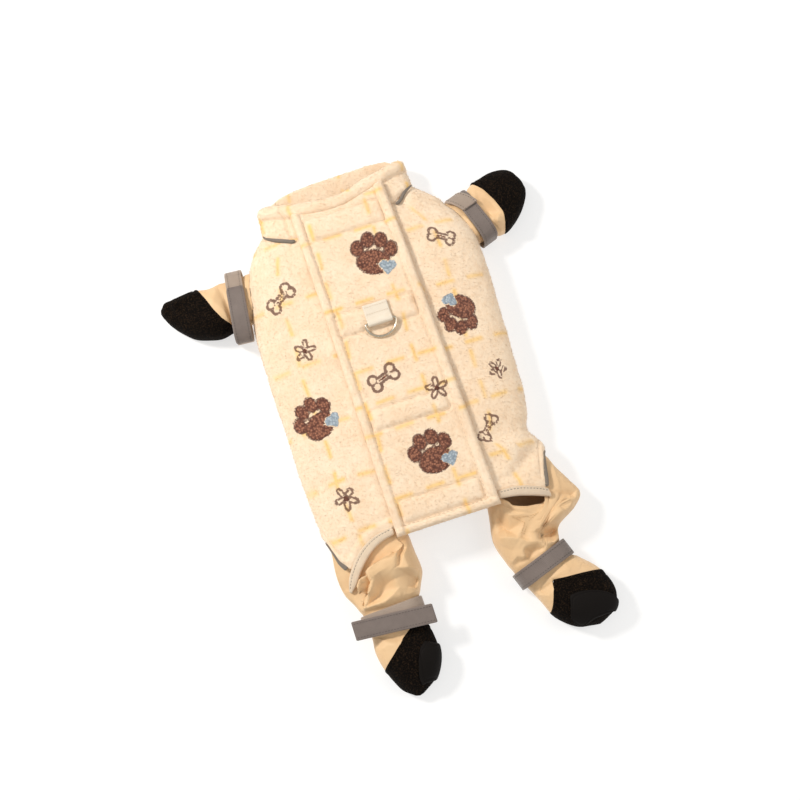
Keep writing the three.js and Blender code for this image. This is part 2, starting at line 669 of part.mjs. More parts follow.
// A wall between an outer and an inner skin, each a grid of rows and columns, closed at its edges.
// A loop joins its last column to its first.
function wallOf(rows, columns, loop, outer, inner) {
  const points = [];
  for (const skin of [outer, inner]) {
    for (let i = 0; i < rows; i += 1) {
      for (let j = 0; j < columns; j += 1) points.push(skin(i, j));
    }
  }
  const triangles = [];
  const quad = (a, b, c, d) => triangles.push([a, b, c], [a, c, d]);
  const o = (i, j) => i * columns + (j % columns);
  const n = (i, j) => rows * columns + o(i, j);
  const spans = loop ? columns : columns - 1;
  for (let i = 0; i < rows - 1; i += 1) {
    for (let j = 0; j < spans; j += 1) {
      quad(o(i, j), o(i, j + 1), o(i + 1, j + 1), o(i + 1, j));
      quad(n(i, j), n(i + 1, j), n(i + 1, j + 1), n(i, j + 1));
    }
  }
  for (let j = 0; j < spans; j += 1) {
    quad(o(0, j + 1), o(0, j), n(0, j), n(0, j + 1));
    quad(o(rows - 1, j), o(rows - 1, j + 1), n(rows - 1, j + 1), n(rows - 1, j));
  }
  if (!loop) {
    for (let i = 0; i < rows - 1; i += 1) {
      quad(o(i, 0), o(i + 1, 0), n(i + 1, 0), n(i, 0));
      quad(o(i + 1, spans), o(i, spans), n(i, spans), n(i + 1, spans));
    }
  }
  return bodyOf(points, triangles);
}

// A solid plug along a skin, closed at both ends by fans
function plugOf(rows, columns, skin) {
  const points = [];
  for (let i = 0; i < rows; i += 1) {
    for (let j = 0; j < columns; j += 1) points.push(skin(i, j));
  }
  const triangles = [];
  const o = (i, j) => i * columns + (j % columns);
  for (let i = 0; i < rows - 1; i += 1) {
    for (let j = 0; j < columns; j += 1) {
      triangles.push([o(i, j), o(i, j + 1), o(i + 1, j + 1)]);
      triangles.push([o(i, j), o(i + 1, j + 1), o(i + 1, j)]);
    }
  }
  for (const i of [0, rows - 1]) {
    const middle = new THREE.Vector3();
    for (let j = 0; j < columns; j += 1) middle.add(points[o(i, j)]);
    points.push(middle.divideScalar(columns));
    for (let j = 0; j < columns; j += 1) {
      const cap = [points.length - 1, o(i, j + 1), o(i, j)];
      triangles.push(i === 0 ? cap : cap.reverse());
    }
  }
  return bodyOf(points, triangles);
}

// Turns a geometry into a solid that can be cut, and back
function solidOf(geometry) {
  const vertProperties = Float32Array.from(geometry.getAttribute('position').array);
  const triVerts = Uint32Array.from(geometry.getIndex().array);
  return new wasm.Manifold(new wasm.Mesh({ numProp: 3, vertProperties, triVerts }));
}
function geometryOf(solid) {
  const mesh = solid.getMesh();
  const geometry = new THREE.BufferGeometry();
  geometry.setAttribute('position', new THREE.BufferAttribute(mesh.vertProperties, 3));
  geometry.setIndex(Array.from(mesh.triVerts));
  return geometry;
}
function plainOf(geometry) {
  geometry.deleteAttribute('normal');
  geometry.deleteAttribute('uv');
  return mergeVertices(geometry, 0.001);
}

const turnOf = (j, columns) => 2 * Math.PI * j / columns;

// The fleece wall from hem to collar seam; room makes it thicker and longer, to cut neighbours clear
function fleeceWallOf(room) {
  const place = (i, j, grow) => {
    const a = turnOf(j, bodyColumns);
    const y = mix(hemAt(a) - room, seamAt(a) - seamGap / 2, i / (bodyRows - 1));
    return bodyPoint(a, y, grow);
  };
  return solidOf(wallOf(bodyRows, bodyColumns, true,
    (i, j) => place(i, j, room), (i, j) => place(i, j, -fleeceWall - room)));
}
const clearOfFleece = (geometry) => geometryOf(solidOf(geometry).subtract(fleeceWallOf(seamGap)));

// The fleece body: a hollow tube, cut where the sleeves come out
function makeTorso() {
  let solid = fleeceWallOf(0);
  for (const limb of [sleeveLeft, sleeveRight]) {
    const plugRows = 5;
    const plugEnd = 0.45;
    const plug = plugOf(plugRows, limbColumns, (i, j) => {
      const ahead = mix(-0.02, plugEnd, i / (plugRows - 1));
      return limbPoint(limb, ahead, turnOf(j, limbColumns), seamGap);
    });
    solid = solid.subtract(solidOf(plug));
  }
  return geometryOf(solid);
}

// The collar: a padded band with a rolled rim, open towards the head
function makeCollar() {
  const skin = (i, j, inside) => {
    const a = turnOf(j, bodyColumns);
    const row = collarRoll[i];
    const y = mix(seamAt(a) + seamGap / 2, rimAt(a), row.up);
    const above = ease(-0.1, 0.6, Math.sin(a));
    if (inside) return bodyPoint(a, y, -collarWall * (1 + row.tuck));
    return bodyPoint(a, y, row.swell * rimSwell * (row.swell > 0 ? above : 1));
  };
  return wallOf(collarRoll.length, bodyColumns, true,
    (i, j) => skin(i, j, false), (i, j) => skin(i, j, true));
}

// The placket panel lies on the body and the collar, with raised hems and four quilted boxes
const plies = { edge: panelBase * 0.7, base: panelBase, hem: panelHem };
const panelScale = panelHalf / (0.403 * bodyHalf);
function panelX(across, y) {
  const t = y / bodyLength;
  const left = linearAt(panelEdges, 'along', 'left', t) * bodyHalf;
  const right = linearAt(panelEdges, 'along', 'right', t) * bodyHalf;
  const middle = (left + right) / 2;
  return middle + mix(left - middle, right - middle, across) * panelScale;
}
function panelRows() {
  const edge = 0.004;
  const marks = [
    { along: panelEnd, ply: 'edge', box: 0 },
    { along: panelEnd + edge, ply: 'hem', box: 0 },
    { along: panelEnd + 0.02, ply: 'hem', box: 0 },
  ];
  for (const b of [...panelBoxes].reverse()) {
    marks.push({ along: b.from - edge, ply: 'base', box: 0 });
    marks.push({ along: b.from + edge, ply: 'base', box: 1 });
    marks.push({ along: b.to - edge, ply: 'base', box: 1 });
    marks.push({ along: b.to + edge, ply: 'base', box: 0 });
  }
  const open = [-0.38, -0.3, -0.08, 0, 0.24, 0.33];
  for (const along of open) marks.push({ along, ply: 'base', box: 0 });
  return marks.sort((a, b) => a.along - b.along);
}
function makePanel() {
  const marks = panelRows();
  const rows = marks.length + 2;
  const at = (i, j, top) => {
    const column = panelColumns[j];
    const row = marks[Math.min(i, marks.length - 1)];
    const head = neckLine * bodyLength
      + linearAt(panelHead, 'across', 'ahead', column.across) * collarDepth;
    const last = marks[marks.length - 1].along * bodyLength;
    let y = row.along * bodyLength;
    if (i >= marks.length) y = mix(last, head - seamGap, (i - marks.length + 1) / 2);
    const x = panelX(column.across, y);
    const boxed = column.box * row.box === 1 && i < marks.length;
    const hemmed = row.ply !== 'base' && column.ply !== 'edge' ? row.ply : column.ply;
    const ply = boxed ? panelPad : plies[hemmed];
    return new THREE.Vector3(x, y, bodyTop(x, y, seamGap + (top ? ply : 0)));
  };
  return wallOf(rows, panelColumns.length, false,
    (i, j) => at(i, j, true), (i, j) => at(i, j, false));
}

// A strip laid over the body's skin along a line seen from above.
// line gives a place and a half width for a share of its length; profile is the strip's section.
const pipingProfile = [
  { across: -1, rise: 0.25 },
  { across: -0.55, rise: 0.9 },
  { across: 0, rise: 1 },
  { across: 0.55, rise: 0.9 },
  { across: 1, rise: 0.25 },
];
function stripOf(rows, line, thick, raise) {
  const at = (i, j, top) => {
    const here = line(i / (rows - 1));
    const p = pipingProfile[j];
    const x = here.x + here.acrossX * p.across;
    const y = here.y + here.acrossY * p.across;
    return new THREE.Vector3(x, y, bodyTop(x, y, raise + (top ? p.rise * thick : 0)));
  };
  return wallOf(rows, pipingProfile.length, false,
    (i, j) => at(i, j, true), (i, j) => at(i, j, false));
}

const pipingRows = 8;
function makeCollarPiping(span) {
  return stripOf(pipingRows, (t) => {
    const c = mix(span.from, span.to, t);
    const y = linearAt(seamTop, 'across', 'along', c) * bodyLength;
    const s = bodySection(y);
    const wide = pipingWide / 2 * mix(0.45, 1, ease(0, 0.6, t));
    return { x: s.middle + c * s.half, y, acrossX: 0, acrossY: wide };
  }, pipingTall, seamGap);
}

// Hip piping stands beside the fleece's slanting edge
function makeHipPiping(span) {
  const steps = pipingRows - 1;
  return wallOf(pipingRows, 3, false,
    (i, j) => hipPoint(span, i / steps, j, true), (i, j) => hipPoint(span, i / steps, j, false));
}
function hipPoint(span, t, j, top) {
  const c = mix(span.from, span.to, t);
  const y = linearAt(hemTop, 'across', 'along', c) * bodyLength;
  const wide = pipingWide * mix(0.5, 1, ease(0, 0.6, t));
  const s = bodySection(y);
  const x = s.middle + c * s.half;
  const beside = seamGap + wide * j / 2;
  const slant = 0.85;
  const px = x + span.outward * beside * (1 - slant);
  const py = y - beside * slant;
  const crown = j === 1 ? pipingTall : pipingTall * 0.4;
  return new THREE.Vector3(px, py, bodyTop(px, py, top ? crown : -fleeceWall * 0.6));
}

// The fleece's hem at x, along the straight runs between the body's columns
function fleeceEdge(x) {
  const points = [];
  for (let j = 0; j <= bodyColumns / 2; j += 1) {
    const a = turnOf(j, bodyColumns);
    points.push(bodyPoint(a, hemAt(a), 0));
  }
  let i = 0;
  while (i < points.length - 2 && points[i + 1].x > x) i += 1;
  const share = (x - points[i].x) / (points[i + 1].x - points[i].x);
  return mix(points[i].y, points[i + 1].y, clamp(share, 0, 1));
}

// The binding of the rear opening, edge to edge with the fleece hem
function makeBinding(table) {
  const last = table.length - 1;
  const steps = 2 * last;
  const keyed = table.map((row, i) => ({ ...row, step: i / last }));
  const lanes = [0, 0.35, 0.7, 1];
  const rises = [0.4, 1, 1, 0.2];
  const at = (i, j, top) => {
    const read = (column) => smoothAt(keyed, 'step', column, i / steps);
    const x = mix(read('inX'), read('outX'), lanes[j]) * bodyHalf;
    const start = Math.min(read('inY') * bodyLength, fleeceEdge(x) - seamGap);
    const y = mix(start, read('outY') * bodyLength, lanes[j]);
    const rise = top ? rises[j] * bindingTall : -fleeceWall;
    return new THREE.Vector3(x, y, bodyTop(x, y, rise));
  };
  return wallOf(steps + 1, lanes.length, false,
    (i, j) => at(i, j, true), (i, j) => at(i, j, false));
}

// A limb's cloth tube from its root to its boot's border
function makeTube(limb, rows) {
  const at = (i, j, grow) => {
    const a = turnOf(j, limbColumns);
    const end = limbEdge(limb.border, a) - seamGap / limb.length;
    return limbPoint(limb, mix(rootAt(limb, a), end, i / (rows - 1)), a, grow);
  };
  return wallOf(rows, limbColumns, true, (i, j) => at(i, j, 0), (i, j) => at(i, j, -clothWall));
}

// The boot closes the limb: its last row draws together at the toe
function makeBoot(limb) {
  const tip = limb.sections[limb.sections.length - 1].ahead;
  const at = (i, j, grow) => {
    const a = turnOf(j, limbColumns);
    const t = Math.sin(Math.PI / 2 * i / (bootRows - 1));
    const ahead = mix(limbEdge(limb.border, a), tip, t);
    if (i < bootRows - 1) return limbPoint(limb, ahead, a, grow);
    const s = limbStation(limb, tip);
    const toe = s.centre.addScaledVector(s.forward, grow + 1);
    toe.z = (s.tall + s.lift) / 2;
    return toe;
  };
  return wallOf(bootRows, limbColumns, true, (i, j) => at(i, j, 0), (i, j) => at(i, j, -clothWall));
}

// A smooth sole patch on a rear boot, from angle to angle and from share to share of the boot
function makeSole(limb, patch) {
  const tip = limb.sections[limb.sections.length - 1].ahead;
  const cells = soleCells;
  const at = (i, j, grow) => {
    const u = j / (cells - 1);
    const v = i / (cells - 1);
    const round = 0.12 * (2 * v - 1) ** 2;
    const a = radians(mix(patch.from, patch.to, mix(round, 1 - round, u)));
    const border = limbEdge(limb.border, a);
    const start = mix(patch.start, patch.startFar, u) + 0.06 * (2 * u - 1) ** 2;
    const ahead = mix(border, tip, mix(start, patch.end, v));
    return limbPoint(limb, ahead, a, grow);
  };
  return wallOf(cells, cells, false,
    (i, j) => at(i, j, seamGap + solePly), (i, j) => at(i, j, seamGap));
}

// The room that a band round a limb needs at a station
function bandRoom(limb, ahead) {
  const s = limbStation(limb, ahead);
  const room = { station: s, top: 0, near: 0, far: 0 };
  const samples = 5;
  for (let i = 0; i < samples; i += 1) {
    const off = (i / (samples - 1) - 0.5) * strapWide / limb.length;
    for (let j = 0; j < limbColumns; j += 1) {
      const p = limbPoint(limb, ahead + off, turnOf(j, limbColumns), 0);
      const across = p.clone().sub(s.centre).dot(s.side);
      room.top = Math.max(room.top, p.z);
      room.near = Math.min(room.near, across);
      room.far = Math.max(room.far, across);
    }
  }
  return room;
}

// A strap loop round a limb. spare gives how far it stands off at the two sides,
// skew turns it a little across the limb.
function loopPoint(band, a, along, grow) {
  const room = bandRoom(band.limb, band.ahead);
  const near = room.near - seamGap - band.spareNear;
  const far = room.far + seamGap + band.spareFar;
  const middle = (near + far) / 2;
  const half = (far - near) / 2;
  const tall = room.top + seamGap + loopSlack;
  const waist = waistShare * tall;
  const n = Math.sin(a);
  const power = 2 / (n >= 0 ? squareTop + 0.6 : squareUnder);
  const across = middle + (half + grow) * bent(Math.cos(a), power);
  const skew = Math.tan(radians(band.skew)) * across;
  const p = room.station.centre.clone().addScaledVector(room.station.side, across)
    .addScaledVector(room.station.forward, along * strapWide + skew);
  if (n >= 0) p.z = waist + (tall - waist + grow) * Math.abs(n) ** power;
  else p.z = Math.max(waist - ((waist - strapPly) * flatShare + grow) * Math.abs(n) ** power,
    Math.max(0, strapPly - grow));
  return p;
}
function makeLoop(band) {
  const at = (i, j, grow) => loopPoint(band, turnOf(j, loopColumns), i - 0.5, grow);
  return wallOf(2, loopColumns, true, (i, j) => at(i, j, strapPly), (i, j) => at(i, j, 0));
}

// The free end of a strap, lying on the loop from angle to angle
function makeEnd(band, end) {
  const columns = 11;
  const at = (i, j, grow) => {
    const a = radians(mix(end.from, end.to, j / (columns - 1)));
    const lean = end.lean * (j / (columns - 1) - 0.5);
    return loopPoint(band, a, (i - 0.5) * end.wide + end.shift + lean, grow);
  };
  const base = strapPly + seamGap;
  return wallOf(2, columns, false,
    (i, j) => at(i, j, base + strapPly), (i, j) => at(i, j, base));
}

const strapSleeveLeft = {
  limb: sleeveLeft, ahead: 0.245, spareNear: 3.5, spareFar: 10, skew: 2,
};
const strapSleeveRight = {
  limb: sleeveRight, ahead: 0.255, spareNear: 0, spareFar: 0, skew: 0,
};
const strapLegLeft = { limb: legLeft, ahead: 0.605, spareNear: 0.4, spareFar: 0.4, skew: 4 };
const strapLegRight = { limb: legRight, ahead: 0.60, spareNear: 0.5, spareFar: 0.6, skew: 0 };
const endSleeveLeft = { from: 8, to: 118, wide: 0.96, shift: 0, lean: 0 };
const endSleeveRight = { from: 62, to: 128, wide: 1.02, shift: -0.12, lean: -0.25 };

// The loose long strap across the left leg, flat and longer than the leg is wide
const barLong = 61;
const barDroop = 4;
function makeBar() {
  const room = bandRoom(legLeft, strapLegLeft.ahead);
  const s = limbStation(legLeft, strapLegLeft.ahead);
  const columns = 9;
  const lean = Math.tan(radians(-4));
  const at = (i, j, top) => {
    const u = 2 * j / (columns - 1) - 1;
    const across = u * barLong / 2 - 1.5;
    const p = s.centre.clone().addScaledVector(s.side, across)
      .addScaledVector(s.forward, (i - 0.5) * strapWide + 7 + lean * across);
    const rest = room.top + loopSlack + 2 * seamGap + strapPly;
    p.z = rest - barDroop * Math.max(Math.abs(u) - 0.7, 0) ** 1.5 + (top ? strapPly : 0);
    return p;
  };
  return wallOf(2, columns, false, (i, j) => at(i, j, true), (i, j) => at(i, j, false));
}

// The webbing tab: two plies sewn to the panel, with an eye round the ring's straight bar
const ringCentreX = -0.031 * bodyHalf;
const tabTopY = 0.15 * bodyLength;
const barY = tabTopY - tabLong;
const eyeRadius = wire / 2 + wireRoom + tabPly;
const tabBase = bodyTop(ringCentreX, (tabTopY + barY) / 2, seamGap + panelPad) + seamGap;
const barZ = tabBase + eyeRadius;
function makeTab() {
  const shape = new THREE.Shape();
  const hole = new THREE.Path();
  shape.moveTo(tabLong, 0);
  shape.lineTo(tabLong, 2 * tabPly);
  shape.lineTo(eyeRadius * 1.2, 2 * tabPly);
  shape.absarc(0, eyeRadius, eyeRadius, radians(25), radians(270), false);
  hole.absarc(0, eyeRadius, wire / 2 + wireRoom, 0, 2 * Math.PI, true);
  shape.holes.push(hole);
  const geometry = new THREE.ExtrudeGeometry(shape, {
    depth: tabWide, bevelEnabled: false, curveSegments: 8,
  });
  geometry.rotateX(Math.PI / 2);
  geometry.rotateZ(Math.PI / 2);
  return plainOf(geometry);
}

// The D-ring: a straight bar and a round bow, lying with the bow on the panel
function ringPath() {
  const half = ringWide / 2 - wire / 2;
  const deep = ringDeep - wire;
  const points = [];
  const barSteps = 3;
  const bowSteps = 14;
  for (let i = 0; i <= barSteps; i += 1) {
    points.push([mix(-half + wireCorner, half - wireCorner, i / barSteps), 0]);
  }
  points.push([half - wireCorner * 0.3, wireCorner * 0.3]);
  for (let i = 0; i <= bowSteps; i += 1) {
    const a = Math.PI * i / bowSteps;
    points.push([half * Math.cos(a), wireCorner + (deep - wireCorner) * Math.sin(a)]);
  }
  points.push([-half + wireCorner * 0.3, wireCorner * 0.3]);
  return points;
}
function makeRing() {
  const path = ringPath();
  const sides = 6;
  const points = [];
  const triangles = [];
  path.forEach(([x, y], i) => {
    const before = path[(i + path.length - 1) % path.length];
    const after = path[(i + 1) % path.length];
    const along = new THREE.Vector2(after[0] - before[0], after[1] - before[1]).normalize();
    for (let k = 0; k < sides; k += 1) {
      const b = turnOf(k, sides);
      const out = Math.cos(b) * wire / 2;
      points.push(new THREE.Vector3(x + along.y * out, -(y - along.x * out), Math.sin(b) * wire / 2));
    }
  });
  const o = (i, k) => (i % path.length) * sides + (k % sides);
  for (let i = 0; i < path.length; i += 1) {
    for (let k = 0; k < sides; k += 1) {
      triangles.push([o(i, k), o(i + 1, k), o(i + 1, k + 1)]);
      triangles.push([o(i, k), o(i + 1, k + 1), o(i, k + 1)]);
    }
  }
  return bodyOf(points, triangles);
}

// The bow comes to rest on the panel: how far it is turned down about the bar
function ringLean() {
  const reach = ringDeep - wire;
  const y = barY - reach;
  const rest = bodyTop(ringCentreX, y, seamGap + panelBase) + wire / 2 + wireRoom;
  return Math.asin(clamp((barZ - rest) / reach, -1, 1));
}

const finish = {
  fleece: { color: 0xf9e8cd, roughness: 0.95, metalness: 0 },
  woven: { color: 0xe9cda2, roughness: 0.6, metalness: 0 },
  knit: { color: 0x1c1713, roughness: 0.9, metalness: 0 },
  sole: { color: 0x0f0c0a, roughness: 0.75, metalness: 0 },
  piping: { color: 0x655c57, roughness: 0.8, metalness: 0 },
  binding: { color: 0xf3e0c2, roughness: 0.8, metalness: 0 },
  strap: { color: 0x847870, roughness: 0.8, metalness: 0 },
  strapPale: { color: 0xa5958a, roughness: 0.8, metalness: 0 },
  webbing: { color: 0xf4ead8, roughness: 0.6, metalness: 0 },
  metal: { color: 0xd8c4a0, roughness: 0.25, metalness: 1 },
};

const jumpsuit = new THREE.Group();
jumpsuit.name = 'dog_jumpsuit';
function addPiece(name, geometry, look, parent = jumpsuit) {
  const mesh = new THREE.Mesh(geometry, new THREE.MeshStandardMaterial(finish[look]));
  mesh.name = name;
  parent.add(mesh);
  return mesh;
}

legLeft.tucked = true;
legRight.tucked = true;

addPiece('torso_shell', makeTorso(), 'fleece');
addPiece('collar', makeCollar(), 'fleece');
addPiece('placket_panel', makePanel(), 'fleece');
addPiece('collar_piping_left', makeCollarPiping(collarPipingLeft), 'piping');
addPiece('collar_piping_right', makeCollarPiping(collarPipingRight), 'piping');
addPiece('hip_piping_left', makeHipPiping(hipPipingLeft), 'piping');
addPiece('hip_piping_right', makeHipPiping(hipPipingRight), 'piping');
addPiece('hem_binding_left', clearOfFleece(makeBinding(bindingLeft)), 'binding');
addPiece('hem_binding_right', clearOfFleece(makeBinding(bindingRight)), 'binding');
addPiece('sleeve_left', makeTube(sleeveLeft, sleeveRows), 'woven');
addPiece('sleeve_right', makeTube(sleeveRight, sleeveRows), 'woven');
addPiece('front_boot_left', makeBoot(sleeveLeft), 'knit');
addPiece('front_boot_right', makeBoot(sleeveRight), 'knit');
addPiece('leg_left', clearOfFleece(makeTube(legLeft, legRows)), 'woven');
addPiece('leg_right', clearOfFleece(makeTube(legRight, legRows)), 'woven');
addPiece('rear_boot_left', makeBoot(legLeft), 'knit');
addPiece('rear_boot_right', makeBoot(legRight), 'knit');
addPiece('rear_sole_left', makeSole(legLeft,
  { from: 5, to: 88, start: 0.16, startFar: 0.12, end: 0.86 }), 'sole');
addPiece('rear_sole_right', makeSole(legRight,
  { from: 25, to: 140, start: 0.34, startFar: 0.30, end: 0.88 }), 'sole');
addPiece('sleeve_strap_left', makeLoop(strapSleeveLeft), 'strapPale');
addPiece('sleeve_strap_right', makeLoop(strapSleeveRight), 'strap');
addPiece('leg_strap_left', makeLoop(strapLegLeft), 'strapPale');
addPiece('leg_strap_right', makeLoop(strapLegRight), 'strap');
addPiece('sleeve_strap_end_left', makeEnd(strapSleeveLeft, endSleeveLeft), 'strap');
addPiece('sleeve_strap_end_right', makeEnd(strapSleeveRight, endSleeveRight), 'strapPale');
addPiece('leg_strap_end_left', makeBar(), 'strap');

const tab = addPiece('ring_tab', makeTab(), 'webbing');
tab.position.set(ringCentreX - tabWide / 2, barY, tabBase);
const ring = addPiece('d_ring', makeRing(), 'metal');
ring.position.set(ringCentreX, barY, barZ);
ring.rotation.x = ringLean();

export default jumpsuit;
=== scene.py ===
# %% [markdown]
# # A small dog's fleece jumpsuit
#
# The garment lies on its belly, laid out for a photograph. All shapes below are worked out in
# millimetres, +Y towards the collar and +Z up, and each piece is turned into metres when its mesh
# is made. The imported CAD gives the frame, and every soft solid is replaced by a finer piece that
# follows the same sections.

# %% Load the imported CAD
import json
import math
import bmesh
import bpy
import numpy as np
from mathutils import Matrix, Vector
from mathutils.geometry import delaunay_2d_cdt

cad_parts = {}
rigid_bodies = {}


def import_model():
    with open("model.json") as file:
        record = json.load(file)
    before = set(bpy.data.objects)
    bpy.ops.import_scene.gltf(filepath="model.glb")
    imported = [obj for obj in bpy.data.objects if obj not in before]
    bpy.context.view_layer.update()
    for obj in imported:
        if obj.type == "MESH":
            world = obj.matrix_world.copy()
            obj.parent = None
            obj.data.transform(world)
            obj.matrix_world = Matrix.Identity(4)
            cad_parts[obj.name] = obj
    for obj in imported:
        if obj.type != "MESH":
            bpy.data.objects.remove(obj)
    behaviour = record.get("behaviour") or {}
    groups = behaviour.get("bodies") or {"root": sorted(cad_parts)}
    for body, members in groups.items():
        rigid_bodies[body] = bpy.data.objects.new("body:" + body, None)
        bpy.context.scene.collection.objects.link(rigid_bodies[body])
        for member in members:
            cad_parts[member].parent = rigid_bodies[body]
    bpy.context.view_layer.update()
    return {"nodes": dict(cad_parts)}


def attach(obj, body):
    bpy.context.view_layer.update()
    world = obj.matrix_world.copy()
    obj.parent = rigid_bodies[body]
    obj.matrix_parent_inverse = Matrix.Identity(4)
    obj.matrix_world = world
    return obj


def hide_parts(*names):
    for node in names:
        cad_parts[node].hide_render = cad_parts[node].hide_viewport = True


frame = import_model()
MM = 0.001
print("CAD nodes:", len(frame["nodes"]))

# %% [markdown]
# ## Sizes and tables
#
# The same driving sizes as the solids have. The body is a lying tube: every section has a widest
# line at a share of its height, is fairly round above it and squarer below it.

# %% Driving sizes
LENGTH, HALF, TALL = 250.0, 98.0, 40.0
FLEECE, GAP, TUCK_ROOM = 2.6, 0.4, 0.9
COLLAR_DEEP, COLLAR_WALL, RIM_SWELL, NECK_LINE = 27.0, 5.0, 2.2, 0.498
PANEL_BASE, PANEL_PAD, PANEL_END = 2.2, 2.8, -0.548
CLOTH, SOLE = 1.3, 1.1
FOLD_GAIN, ROUND_FOLDS = 1.6, 0.4  # how much of the sharp and of the round folds the cloth shows
STRAP_WIDE, STRAP_PLY, LOOP_SLACK = 13.0, 1.3, 0.3
RING_WIDE, RING_DEEP, WIRE, WIRE_CORNER, WIRE_ROOM = 26.0, 14.0, 2.2, 1.5, 0.3
TAB_WIDE, TAB_LONG, TAB_PLY = 19.6, 15.0, 1.2
SQUARE_TOP, SQUARE_UNDER, WAIST, FLAT = 2.7, 4.0, 0.42, 1.12

# %% The body's sections, seams and edges
# Shares of length, half width (left, right) and height
BODY = np.array([
    (-0.70, 0.93, 0.92, 0.80), (-0.56, 0.944, 0.934, 0.90), (-0.48, 0.959, 0.918, 0.94),
    (-0.40, 0.974, 0.888, 0.96), (-0.352, 0.98, 0.815, 0.97), (-0.30, 0.985, 0.857, 0.98),
    (-0.20, 0.99, 0.898, 1), (0, 1, 0.929, 1), (0.18, 1, 0.949, 1), (0.28, 0.969, 0.954, 0.99),
    (0.34, 0.949, 0.934, 0.98), (0.388, 0.898, 0.867, 0.96), (0.416, 0.862, 0.806, 0.94),
    (0.448, 0.816, 0.765, 0.92), (0.472, 0.765, 0.704, 0.90), (0.496, 0.709, 0.638, 0.88),
    (0.52, 0.699, 0.597, 0.86), (0.56, 0.694, 0.592, 0.82), (0.60, 0.673, 0.588, 0.77),
    (0.64, 0.612, 0.575, 0.72),
])
# Dents and swells of the top: x, y, half length, half width, turn in degrees, lift, all in mm
BODY_DENTS = [
    (-74.5, 20, 22.5, 7, 80, -1.6), (-84.3, -80, 17.5, 8, 75, -1.8), (72.5, -109, 20, 5.5, 32, -4),
    (68.6, -94, 15, 9, 25, 2.4), (51, -105, 12.5, 7.5, 20, -1.2),
    (45, 114, 11, 4.5, 95, -1.6), (56, 116, 11, 6, 95, 1.2),
]
# Places across the half width, and along as a share of the length
SEAM_TOP = np.array([(-1, 0.498), (-0.93, 0.482), (-0.76, 0.461), (-0.57, 0.44), (0, 0.438),
                     (0.57, 0.462), (0.74, 0.488), (1, 0.515)])
SEAM_UNDER = np.array([(-1, 0.498), (0, 0.485), (1, 0.515)])
HEM_TOP = np.array([
    (-1, -0.476), (-0.98, -0.50), (-0.94, -0.556), (-0.885, -0.588), (-0.83, -0.576),
    (-0.77, -0.554), (-0.67, -0.532), (-0.57, -0.518), (-0.44, -0.512), (0, -0.524),
    (0.43, -0.506), (0.60, -0.508), (0.71, -0.52), (0.84, -0.538), (0.90, -0.48),
    (0.955, -0.436), (1, -0.42),
])
HEM_UNDER = np.array([(-1, -0.476), (-0.8, -0.40), (0, -0.388), (0.8, -0.40), (1, -0.42)])
COVER_TOP = np.array([
    (-1, -0.476), (-0.985, -0.50), (-0.965, -0.69), (-0.90, -0.69), (-0.77, -0.635),
    (-0.60, -0.585), (-0.40, -0.556), (0, -0.556), (0.40, -0.54), (0.60, -0.554),
    (0.80, -0.59), (0.88, -0.585), (0.92, -0.48), (1, -0.42),
])
# The collar's rim: across, and ahead of the neck line as a share of the collar's depth
RIM_TOP = np.array([
    (-1, 0.889), (-0.89, 0.833), (-0.73, 0.722), (-0.57, 0.593), (-0.41, 0.537), (-0.24, 0.481),
    (-0.08, 0.444), (0.08, 0.463), (0.21, 0.537), (0.325, 0.648), (0.44, 0.741), (0.57, 0.796),
    (0.76, 0.95), (1, 1.10),
]) - (0, 0.06)
RIM_UNDER = np.array([(-1, 0.829), (-0.8, 1.17), (-0.6, 1.25), (-0.3, 1.31), (0, 1.33),
                      (0.3, 1.34), (0.6, 1.35), (0.85, 1.31), (1, 1.04)])
# The panel's upper edge under the rim roll, and its side edges
PANEL_HEAD = np.array([(0, 0.17), (0.17, 0.06), (0.30, -0.01), (0.42, -0.03), (0.55, 0.0),
                       (0.67, 0.09), (0.78, 0.20), (1, 0.36)])
PANEL_EDGES = np.array([(-0.55, -0.42, 0.408), (-0.2, -0.425, 0.39), (0.2, -0.43, 0.37),
                        (0.4, -0.44, 0.36), (0.58, -0.445, 0.352)])
# The four quilted boxes: left, right, lower and upper edge in mm
PANEL_BOXES = [(-35, 27, 101, 121), (-36, 28, 19, 38), (-33.5, 27.5, -58, -41.5),
               (-33.5, 30.5, -130, -113)]
# Rear bindings: inner x, inner y, outer x, outer y as shares of half width and length
BINDING_LEFT = np.array([
    (-0.452, -0.514, -0.45, -0.538), (-0.56, -0.521, -0.54, -0.546), (-0.655, -0.535, -0.625, -0.562),
    (-0.745, -0.559, -0.70, -0.586), (-0.815, -0.590, -0.765, -0.614),
    (-0.862, -0.618, -0.815, -0.640), (-0.885, -0.645, -0.86, -0.655),
])
BINDING_RIGHT = np.array([
    (0.43, -0.510, 0.42, -0.533), (0.56, -0.512, 0.55, -0.541), (0.66, -0.522, 0.65, -0.552),
    (0.745, -0.5345, 0.735, -0.563), (0.79, -0.5445, 0.79, -0.571),
])

